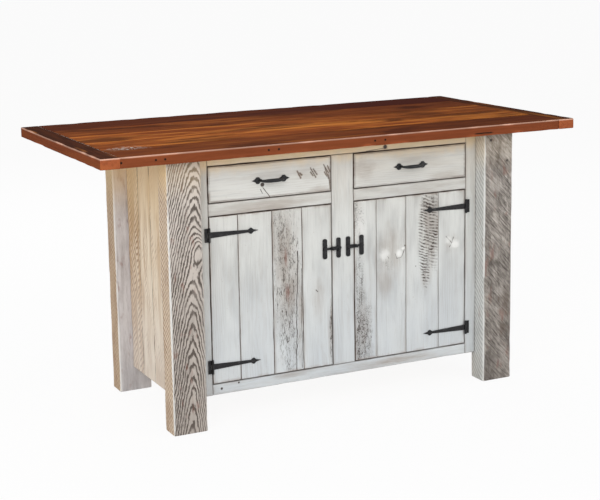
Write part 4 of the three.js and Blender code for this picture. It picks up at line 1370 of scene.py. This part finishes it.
def turned(profile, centre, axis, closed=False):
    """Surface of revolution about an axis through the centre: (radius, distance along) pairs.

    A closed profile gives a ring with a hole; an open one is closed by flat ends.
    """
    profile = np.asarray(profile, float)
    turn = np.arange(TURN_STEPS) / TURN_STEPS * 2 * math.pi
    first, second = [other for other in (X, Y, Z) if other != axis]
    grid = np.zeros((len(profile), TURN_STEPS, 3))
    grid[..., first] = profile[:, :1] * np.cos(turn)
    grid[..., second] = profile[:, :1] * np.sin(turn)
    grid[..., axis] = profile[:, 1:]
    grid = grid + np.asarray(centre)
    return ring_shell(grid) if closed else tube(grid)


# a screw head in units of its radius: height of its dome, half its slot, the slot's floor, its foot
DOME, SLOT_HALF, SLOT_FLOOR, FOOT = 0.5, 0.17, 0.05, 0.6


def screw(centre, radius, turn):
    """Domed slotted screw head facing -Y: a dome over a disc, sunk along a slot turned by "turn"."""
    rings = np.linspace(1, 0.02, 8)[:, None]
    angle = np.arange(TURN_STEPS)[None] / TURN_STEPS * 2 * math.pi
    across, up = rings * np.cos(angle), rings * np.sin(angle)
    from_slot = np.abs(across * math.sin(turn) - up * math.cos(turn))
    height = np.sqrt(1 - (rings * 0.98) ** 2) * DOME * (from_slot > SLOT_HALF) + SLOT_FLOOR
    points = np.stack([across, -height, up], -1)
    foot = np.stack([across[0], np.full(TURN_STEPS, FOOT), up[0]], -1)[None]
    return tube(np.concatenate([foot, points]) * radius + np.asarray(centre))


class Ironwork:
    """Collects the shells of one piece of ironwork."""

    def __init__(self, node, iron):
        self.node = node
        self.iron = iron
        self.shells = []

    def add_screws(self, places, radius, first_turn, step=1.0):
        """Adds a screw head at each place, each slot turned on from the last."""
        for number, place in enumerate(places):
            self.shells.append(screw(place, radius, first_turn + step * number))

    def finish(self):
        replace_node(self.node, "forged", self.shells, self.iron, smooth_angle=32)


IRON_THICK = 0.0026
ROUNDING = 0.0004

PIN_X = 0.482  # distance of a hinge's pin from the middle of the unit
PIN_RADIUS = 0.0024
PIN_HEAD = ((0.0020, 0.0016), (0.0030, 0.0013), (0.0034, 0.0006), (0.0034, 0.0))
KNUCKLE = 0.004
KNUCKLE_HALF = 0.008
LEAF_HALF = 0.0225
LEAF_REACH = 0.015
LEAF_CORNER = 0.0013
TAB_SHORT = 0.0005  # how far a tab stays inside the ends of its knuckle
LEAF_SCREW = (0.0101, 0.0145)  # from the pin, and above and below the middle
ROOT = 0.0026  # where the iron leaves a knuckle
LAP = 0.001

STRAP_FROM, STRAP_TO, STRAP_END = 0.0044, 0.1305, 0.171
STRAP_HALF, STRAP_TIP_HALF = 0.0100, 0.0050
STRAP_KNOTS = ((0.1305, 0.0050), (0.1340, 0.0046), (0.1465, 0.0105), (0.1580, 0.0034), (0.171, 0.0004))
STRAP_SCREWS = (0.018, 0.066, 0.1465)


def barrel(radius, low, high):
    """Profile of a short cylinder with eased ends: (radius, distance along) pairs."""
    eased_radius = radius - ROUNDING
    return [(eased_radius, low), (radius, low + ROUNDING), (radius, high - ROUNDING), (eased_radius, high)]


def build_leaf(node, side, pin, back, screw_radius, iron):
    """Plate on the stile with two knuckles round the headed pin."""
    leaf = Ironwork(node, iron)
    pin_x, middle = pin[X], pin[Z]
    inner = KNUCKLE + SEAT
    at = (pin_x + side * (inner + LEAF_REACH) / 2, back, middle)
    leaf.shells.append(plate(at, (LEAF_REACH - inner) / 2, LEAF_HALF, LEAF_CORNER, IRON_THICK, 3))
    gap = KNUCKLE_HALF + SEAT
    for low, high in ((-LEAF_HALF, -gap), (gap, LEAF_HALF)):
        leaf.shells.append(turned(barrel(KNUCKLE, low, high), pin, Z))
        tab = (pin_x + side * (ROOT + inner + LAP) / 2, back, middle + (low + high) / 2)
        half_width, half_height = (inner + LAP - ROOT) / 2, (high - low) / 2 - TAB_SHORT
        leaf.shells.append(plate(tab, half_width, half_height, ROUNDING, IRON_THICK, 5))
    head = [(radius, LEAF_HALF + rise) for radius, rise in PIN_HEAD]
    foot = [(radius, -place) for radius, place in head[::-1]]
    rod = [(PIN_RADIUS, LEAF_HALF), (PIN_RADIUS, -LEAF_HALF)]
    leaf.shells.append(turned(head + rod + foot, pin, Z))
    aside, rise = LEAF_SCREW
    places = [(pin_x + side * aside, back - IRON_THICK, middle + way * rise) for way in (-1, 1)]
    leaf.add_screws(places, screw_radius, 0.7)
    leaf.finish()


def build_strap(node, side, pin, back, screw_radius, iron):
    """Tapered strap with a spear end on the door, and its knuckle round the pin."""
    strap = Ironwork(node, iron)
    pin_x, middle = pin[X], pin[Z]
    bore = PIN_RADIUS + SEAT
    wall = [(bore, -KNUCKLE_HALF), *barrel(KNUCKLE, -KNUCKLE_HALF, KNUCKLE_HALF), (bore, KNUCKLE_HALF)]
    strap.shells.append(turned(wall, pin, Z, closed=True))
    taper = np.linspace(STRAP_FROM, STRAP_TO, 34)
    head = np.linspace(STRAP_TO + 0.0007, STRAP_END, 40)
    lengths = np.concatenate([[ROOT, STRAP_FROM - 0.0001], taper, head])
    share = (taper - STRAP_FROM) / (STRAP_TO - STRAP_FROM)
    narrowing = STRAP_HALF + (STRAP_TIP_HALF - STRAP_HALF) * share
    root_half = KNUCKLE_HALF - 0.0001
    widths = np.concatenate([[root_half, root_half], narrowing, eased(head, STRAP_KNOTS)])
    start = (pin_x, back, middle)
    strap.shells.append(strip(start, (-side, 0, 0), lengths, widths, (0, 0, 1), IRON_THICK, 7))
    places = [(pin_x - side * length, back - IRON_THICK, middle) for length in STRAP_SCREWS]
    strap.add_screws(places, screw_radius, 0.4, 1.3)
    strap.finish()


def build_hinge(name, side, sizes, iron):
    """Leaf on the stile and strap on the door, round one pin."""
    low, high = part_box(f"{name}_leaf")
    pin = np.array([side * PIN_X, low[Y] + KNUCKLE, (low[Z] + high[Z]) / 2])
    build_leaf(f"{name}_leaf", side, pin, high[Y], sizes.screw_radius, iron)
    build_strap(f"{name}_strap", side, pin, high[Y], sizes.screw_radius, iron)


BAR_TAIL = 0.007
BAR_SLIM = 0.00375
BAR_BROAD = 0.006
BAR_REACH = 0.060
BAR_KNOTS = ((0.008, BAR_SLIM), (0.016, BAR_SLIM), (0.028, BAR_BROAD), (0.052, BAR_BROAD))
BAR_THICK = 0.0036
BAR_BORE = 0.0035


def bar_outline(side):
    """Outline of a latch bar about its pivot: round tail, slim neck, broad tongue, round nose."""
    meets = math.asin(BAR_SLIM / BAR_TAIL)
    angle = np.linspace(meets, 2 * math.pi - meets, 30)
    round_tail = BAR_TAIL * np.stack([np.cos(angle), np.sin(angle)], 1)
    turn = np.linspace(-math.pi / 2, math.pi / 2, 13)
    nose = np.stack([BAR_REACH - BAR_BROAD + BAR_BROAD * np.cos(turn), BAR_BROAD * np.sin(turn)], 1)
    along = np.linspace(BAR_KNOTS[0][0], BAR_KNOTS[-1][0], 18)
    upper = np.stack([along, eased(along, BAR_KNOTS)], 1)
    points = np.concatenate([round_tail, upper * (1, -1), nose, upper[::-1]])
    return points * (-side, 1)


def pierced(outline, hole, front, back, middle):
    """Flat forged form with a round hole: each section runs from the hole to the outline in front,
    round the edge and back behind, so the surface joins up in both directions."""
    size = np.linalg.norm(outline, axis=1, keepdims=True)
    rim = outline / size * hole
    edge = 0.0007
    inner = outline * (1 - edge / size)
    half = [(rim + (inner - rim) * share, 0.0) for share in (0.0, 0.3, 0.65, 1.0)]
    half += [(inner + (outline - inner) * math.sin(turn * math.pi / 2), edge * turn) for turn in (0.5, 1.0)]
    grid = [flat(ring, front + depth) for ring, depth in half]
    grid += [flat(ring, back - depth) for ring, depth in half[::-1]]
    return ring_shell(np.stack(grid, 1) + np.asarray(middle))


def flat(outline, depth):
    """Outline in X and Z at one depth in Y."""
    return np.stack([outline[:, 0], np.full(len(outline), depth), outline[:, 1]], 1)


LATCH_PLATE = (0.0085, 0.034, 0.006)  # half width, half height and the rounding of its ends
LATCH_SCREW_RISE = 0.026
KNOB_FROM_PIVOT = 0.025
KNOB_RADIUS = 0.0046
KNOB_CENTRE = 0.0094
KNOB_NECK = 0.0020
KNOB_NECK_END = 0.0050
SINK = 0.0006  # how far a knob starts inside its bar
RIVET_SHANK = 0.0032
RIVET_HEAD = ((0.0050, 0.0), (0.0050, 0.0006), (0.0042, 0.0013), (0.0022, 0.0018))  # radius, height

# the keeper's hook: its line (out from the plate, up), and half its depth and width there
HOOK = (
    (-0.0014, -0.0093, 0.0026, 0.0045),
    (-0.0046, -0.0086, 0.0021, 0.0045),
    (-0.0077, -0.0080, 0.0016, 0.0045),
    (-0.0089, -0.0064, 0.0015, 0.0045),
    (-0.0092, -0.0040, 0.0015, 0.0044),
    (-0.0092, -0.0018, 0.0014, 0.0040),
    (-0.0091, -0.0006, 0.0008, 0.0028),
)


def latch_plate(node, seed, first_turn, sizes, iron):
    """Upright plate with a screw at each end; gives its ironwork and the middle of its back."""
    low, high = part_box(node)
    at, back, height = (low[X] + high[X]) / 2, high[Y], (low[Z] + high[Z]) / 2
    ironwork = Ironwork(node, iron)
    ironwork.shells.append(plate((at, back, height), *LATCH_PLATE, IRON_THICK, seed))
    places = [(at, back - IRON_THICK, height + way * LATCH_SCREW_RISE) for way in (-1, 1)]
    ironwork.add_screws(places, sizes.screw_radius, first_turn)
    return ironwork, (at, back, height)


def build_latch(name, side, sizes, iron):
    """Plate with a riveted pivot on the door, bar with a knob, keeper with a hook on the stile."""
    door, (at, back, height) = latch_plate(f"{name}_plate", 11, 0.3, sizes, iron)
    face = back - IRON_THICK
    bar_back, bar_front = face - SEAT, face - SEAT - BAR_THICK
    rivet_back = bar_front - SEAT - face
    rivet = [(RIVET_SHANK, 0.0005), (RIVET_SHANK, rivet_back)]
    rivet += [(radius, rivet_back - rise) for radius, rise in RIVET_HEAD]
    door.shells.append(turned(rivet, (at, face, height), Y))
    door.finish()

    bar = Ironwork(f"{name}_bar", iron)
    bar.shells.append(pierced(bar_outline(side), BAR_BORE, bar_front, bar_back, (at, 0, height)))
    angle = np.linspace(0.45, math.pi - 0.05, 12)
    ball = np.stack([KNOB_RADIUS * np.sin(angle), KNOB_RADIUS * np.cos(angle) - KNOB_CENTRE], 1)
    knob = [(KNOB_NECK, SINK), (KNOB_NECK, -KNOB_NECK_END), *ball]
    bar.shells.append(turned(knob, (at - side * KNOB_FROM_PIVOT, bar_front, height), Y))
    bar.finish()

    keeper, (at, back, height) = latch_plate(f"{name}_keeper", 13, 1.1, sizes, iron)
    out, up, half_depths, half_widths = np.array(HOOK).T
    tangent = np.gradient(np.stack([out, up], 1), axis=0)
    tangent /= np.linalg.norm(tangent, axis=1, keepdims=True)
    centres = np.stack([np.full(len(HOOK), at), back + out, height + up], 1)
    depth_ways = np.stack([np.zeros(len(HOOK)), -tangent[:, 1], tangent[:, 0]], 1)[:, None]
    keeper.shells.append(rounded_bar(centres, half_widths, half_depths, (1, 0, 0), depth_ways))
    keeper.finish()


LEAF_KNOTS = (
    (-0.0145, 0.0034),
    (-0.0115, 0.0042),
    (-0.0030, 0.0112),
    (0.0030, 0.0114),
    (0.0125, 0.0036),
    (0.0210, 0.0003),
)
LEAF_FROM_MIDDLE = 0.046
GRIP_HALF_LENGTH = 0.0405
GRIP_END = 0.00275  # half the grip's depth where it meets the leaves
GRIP_SWELL = 0.0010
GRIP_HALF_WIDTH = 0.0030
GRIP_WIDENING = 0.0033
GRIP_SHORT = 0.0002  # how far the grip stays inside its node
GRIP_POWER = 0.62
GRIP_STEPS = 44


def build_pull(name, iron):
    """Bow pull: a grip that arches between two leaf ends, thickest in the middle.

    The grip's line is half a superellipse, and round it a point lies at the half width times the
    cosine and the half depth times the sine. Both grow by the squared sine of the way along.
    """
    low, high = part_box(name)
    middle, height = (low[X] + high[X]) / 2, (low[Z] + high[Z]) / 2
    back, reach = high[Y], high[Y] - low[Y]
    pull = Ironwork(name, iron)
    lengths = np.linspace(LEAF_KNOTS[0][0], LEAF_KNOTS[-1][0], 40)
    widths = eased(lengths, LEAF_KNOTS)
    for way in (-1, 1):
        start = (middle + way * LEAF_FROM_MIDDLE, back, height)
        pull.shells.append(strip(start, (way, 0, 0), lengths, widths, (0, 0, 1), IRON_THICK, 17))
    angle = np.linspace(0, math.pi, GRIP_STEPS)
    along = -np.sign(np.cos(angle)) * np.abs(np.cos(angle)) ** GRIP_POWER * GRIP_HALF_LENGTH
    out = np.sin(angle) ** GRIP_POWER * (reach - IRON_THICK - GRIP_SHORT - GRIP_SWELL)
    centres = np.stack([middle + along, back - IRON_THICK + GRIP_END - out, np.full(GRIP_STEPS, height)], 1)
    swell = np.sin(angle) ** 2
    half_depths = GRIP_END + GRIP_SWELL * swell
    half_widths = GRIP_HALF_WIDTH + GRIP_WIDENING * swell
    lean = np.arctan2(np.cos(angle), np.sin(angle))
    ways = np.stack([-np.sin(lean), -np.cos(lean), np.zeros(GRIP_STEPS)], 1)[:, None]
    pull.shells.append(rounded_bar(centres, half_widths, half_depths, (0, 0, 1), ways, power=1))
    pull.finish()


class ISLAND_OT_ironwork(Operator):
    """Builds the strap hinges, bar latches and bow pulls"""

    bl_idname = "island.ironwork"
    bl_label = "Ironwork"

    def execute(self, context):
        sizes = context.scene.island_sizes
        iron = forged_iron("forged_iron", context.scene.island_colours)
        for side, way in SIDES.items():
            for end in ENDS:
                build_hinge(f"hinge_{side}_{end}", way, sizes, iron)
            build_latch(f"latch_{side}", way, sizes, iron)
            build_pull(f"drawer_{side}_pull", iron)
        return {"FINISHED"}


# ---------------------------------------------------------------- stage

CAMERA_PLACE = (-2.1483, -4.3379, 1.5366)
CAMERA_YAW = math.radians(25.620)
CAMERA_PITCH = math.radians(10.079)
CAMERA_ROLL = math.radians(-1.069)
CAMERA_LENS = 83.81
FRAME_WIDTH = 600
CAMERA_SHIFT = (20 / FRAME_WIDTH, -60 / FRAME_WIDTH)

FLOOR_REACH = 40.0
FLOOR_WHITENESS = 0.92  # how far the floor is white to the camera; the rest keeps the shadow
AMBIENT = 0.52

# name, place, size and power of each lamp
LAMPS = (
    ("key", (-3.4, -3.8, 2.8), 3.2, 135.0),
    ("fill", (3.0, -3.6, 2.2), 3.0, 45.0),
    ("back", (0.6, 3.4, 3.2), 3.0, 50.0),
)
LAMP_AIM = (0, 0, 0.45)


class ISLAND_OT_stage(Operator):
    """Builds the floor, the lights and the camera"""

    bl_idname = "island.stage"
    bl_label = "Stage"

    def execute(self, context):
        scene = context.scene
        scene.view_settings.view_transform = "Standard"
        add_camera(scene)
        add_floor(scene)
        add_world(scene)
        for lamp in LAMPS:
            add_lamp(scene, *lamp)
        return {"FINISHED"}


def add_camera(scene):
    """Camera from its place, yaw, pitch and roll."""
    data = bpy.data.cameras.new("camera")
    data.sensor_width = 36.0
    data.lens = CAMERA_LENS
    data.shift_x, data.shift_y = CAMERA_SHIFT
    data.clip_end = 200
    forward = Vector((
        math.sin(CAMERA_YAW) * math.cos(CAMERA_PITCH),
        math.cos(CAMERA_YAW) * math.cos(CAMERA_PITCH),
        -math.sin(CAMERA_PITCH),
    ))
    level = Vector((math.cos(CAMERA_YAW), -math.sin(CAMERA_YAW), 0))
    up = level.cross(forward)
    right = level * math.cos(CAMERA_ROLL) + up * math.sin(CAMERA_ROLL)
    upright = up * math.cos(CAMERA_ROLL) - level * math.sin(CAMERA_ROLL)
    camera = bpy.data.objects.new("camera", data)
    turn = Matrix((right, upright, -forward)).transposed().to_4x4()
    camera.matrix_world = Matrix.Translation(CAMERA_PLACE) @ turn
    scene.collection.objects.link(camera)
    scene.camera = camera


def add_floor(scene):
    """Wide pale floor that fades to white for the camera and keeps a soft shadow."""
    mesh = bpy.data.meshes.new("floor")
    corners = rectangle((-FLOOR_REACH, -FLOOR_REACH), (FLOOR_REACH, FLOOR_REACH))
    mesh.from_pydata([(*corner, 0) for corner in corners], [], [(0, 1, 2, 3)])
    floor = bpy.data.objects.new("floor", mesh)
    scene.collection.objects.link(floor)
    graph = Graph(bpy.data.materials.new("floor"))
    matt = graph.value("BsdfDiffuse", None, {"Color": (0.94, 0.94, 0.94, 1)})
    white = graph.value("Emission", None, {"Color": (1, 1, 1, 1), "Strength": 1.0})
    whiteness = seen_directly(graph) * FLOOR_WHITENESS
    mixed = graph.value("MixShader", None, {0: whiteness, 1: matt, 2: white})
    graph.node("OutputMaterial", None, {"Surface": mixed})
    mesh.materials.append(graph.owner)


def seen_directly(graph):
    """1 for rays that show the background: from the camera, off metal or through glass."""
    outputs = graph.node("LightPath").outputs
    names = ("Is Camera Ray", "Is Glossy Ray", "Is Transmission Ray")
    camera, glossy, transmission = (Value(graph, outputs[name]) for name in names)
    return graph.least(camera + glossy + transmission, 1.0)


def add_world(scene):
    """White background, and a plain soft level of light from all round."""
    scene.world = bpy.data.worlds.new("studio")
    graph = Graph(scene.world)
    ambient = graph.value("Background", None, {"Color": (1, 1, 1, 1), "Strength": AMBIENT})
    white = graph.value("Background", None, {"Color": (1, 1, 1, 1), "Strength": 1.0})
    mixed = graph.value("MixShader", None, {0: seen_directly(graph), 1: ambient, 2: white})
    graph.node("OutputWorld", None, {"Surface": mixed})


def add_lamp(scene, name, place, size, power):
    """Square soft lamp aimed at the middle of the unit."""
    data = bpy.data.lights.new(name, "AREA")
    data.size = size
    data.energy = power
    lamp = bpy.data.objects.new(name, data)
    lamp.location = place
    aim = Vector(LAMP_AIM) - Vector(place)
    lamp.rotation_euler = aim.to_track_quat("-Z", "Y").to_euler()
    scene.collection.objects.link(lamp)


# ---------------------------------------------------------------- add-on


class ISLAND_PT_panel(Panel):
    """Lists the steps that dress the unit"""

    bl_label = "Kitchen Island"
    bl_idname = "ISLAND_PT_panel"
    bl_space_type = "VIEW_3D"
    bl_region_type = "UI"
    bl_category = "Island"

    def draw(self, context):
        for step in STEPS:
            self.layout.operator(step.bl_idname)
        for group in (context.scene.island_sizes, context.scene.island_colours):
            column = self.layout.column()
            for name in group.__annotations__:
                column.prop(group, name)


STEPS = (
    ISLAND_OT_stage,
    ISLAND_OT_worktop,
    ISLAND_OT_posts,
    ISLAND_OT_face_frame,
    ISLAND_OT_boarding,
    ISLAND_OT_inner_boards,
    ISLAND_OT_drawer_fronts,
    ISLAND_OT_door_planks,
    ISLAND_OT_ironwork,
)
CLASSES = (IslandSizes, IslandColours, *STEPS, ISLAND_PT_panel)


def register():
    for made in CLASSES:
        bpy.utils.register_class(made)
    bpy.types.Scene.island_sizes = PointerProperty(type=IslandSizes)
    bpy.types.Scene.island_colours = PointerProperty(type=IslandColours)


def unregister():
    del bpy.types.Scene.island_colours
    del bpy.types.Scene.island_sizes
    for made in reversed(CLASSES):
        bpy.utils.unregister_class(made)


def main():
    """Registers the classes and runs each step in order."""
    register()
    steps = bpy.ops.island
    steps.stage()
    steps.worktop()
    steps.posts()
    steps.face_frame()
    steps.boarding()
    steps.inner_boards()
    steps.drawer_fronts()
    steps.door_planks()
    steps.ironwork()


if __name__ == "__main__":
    main()
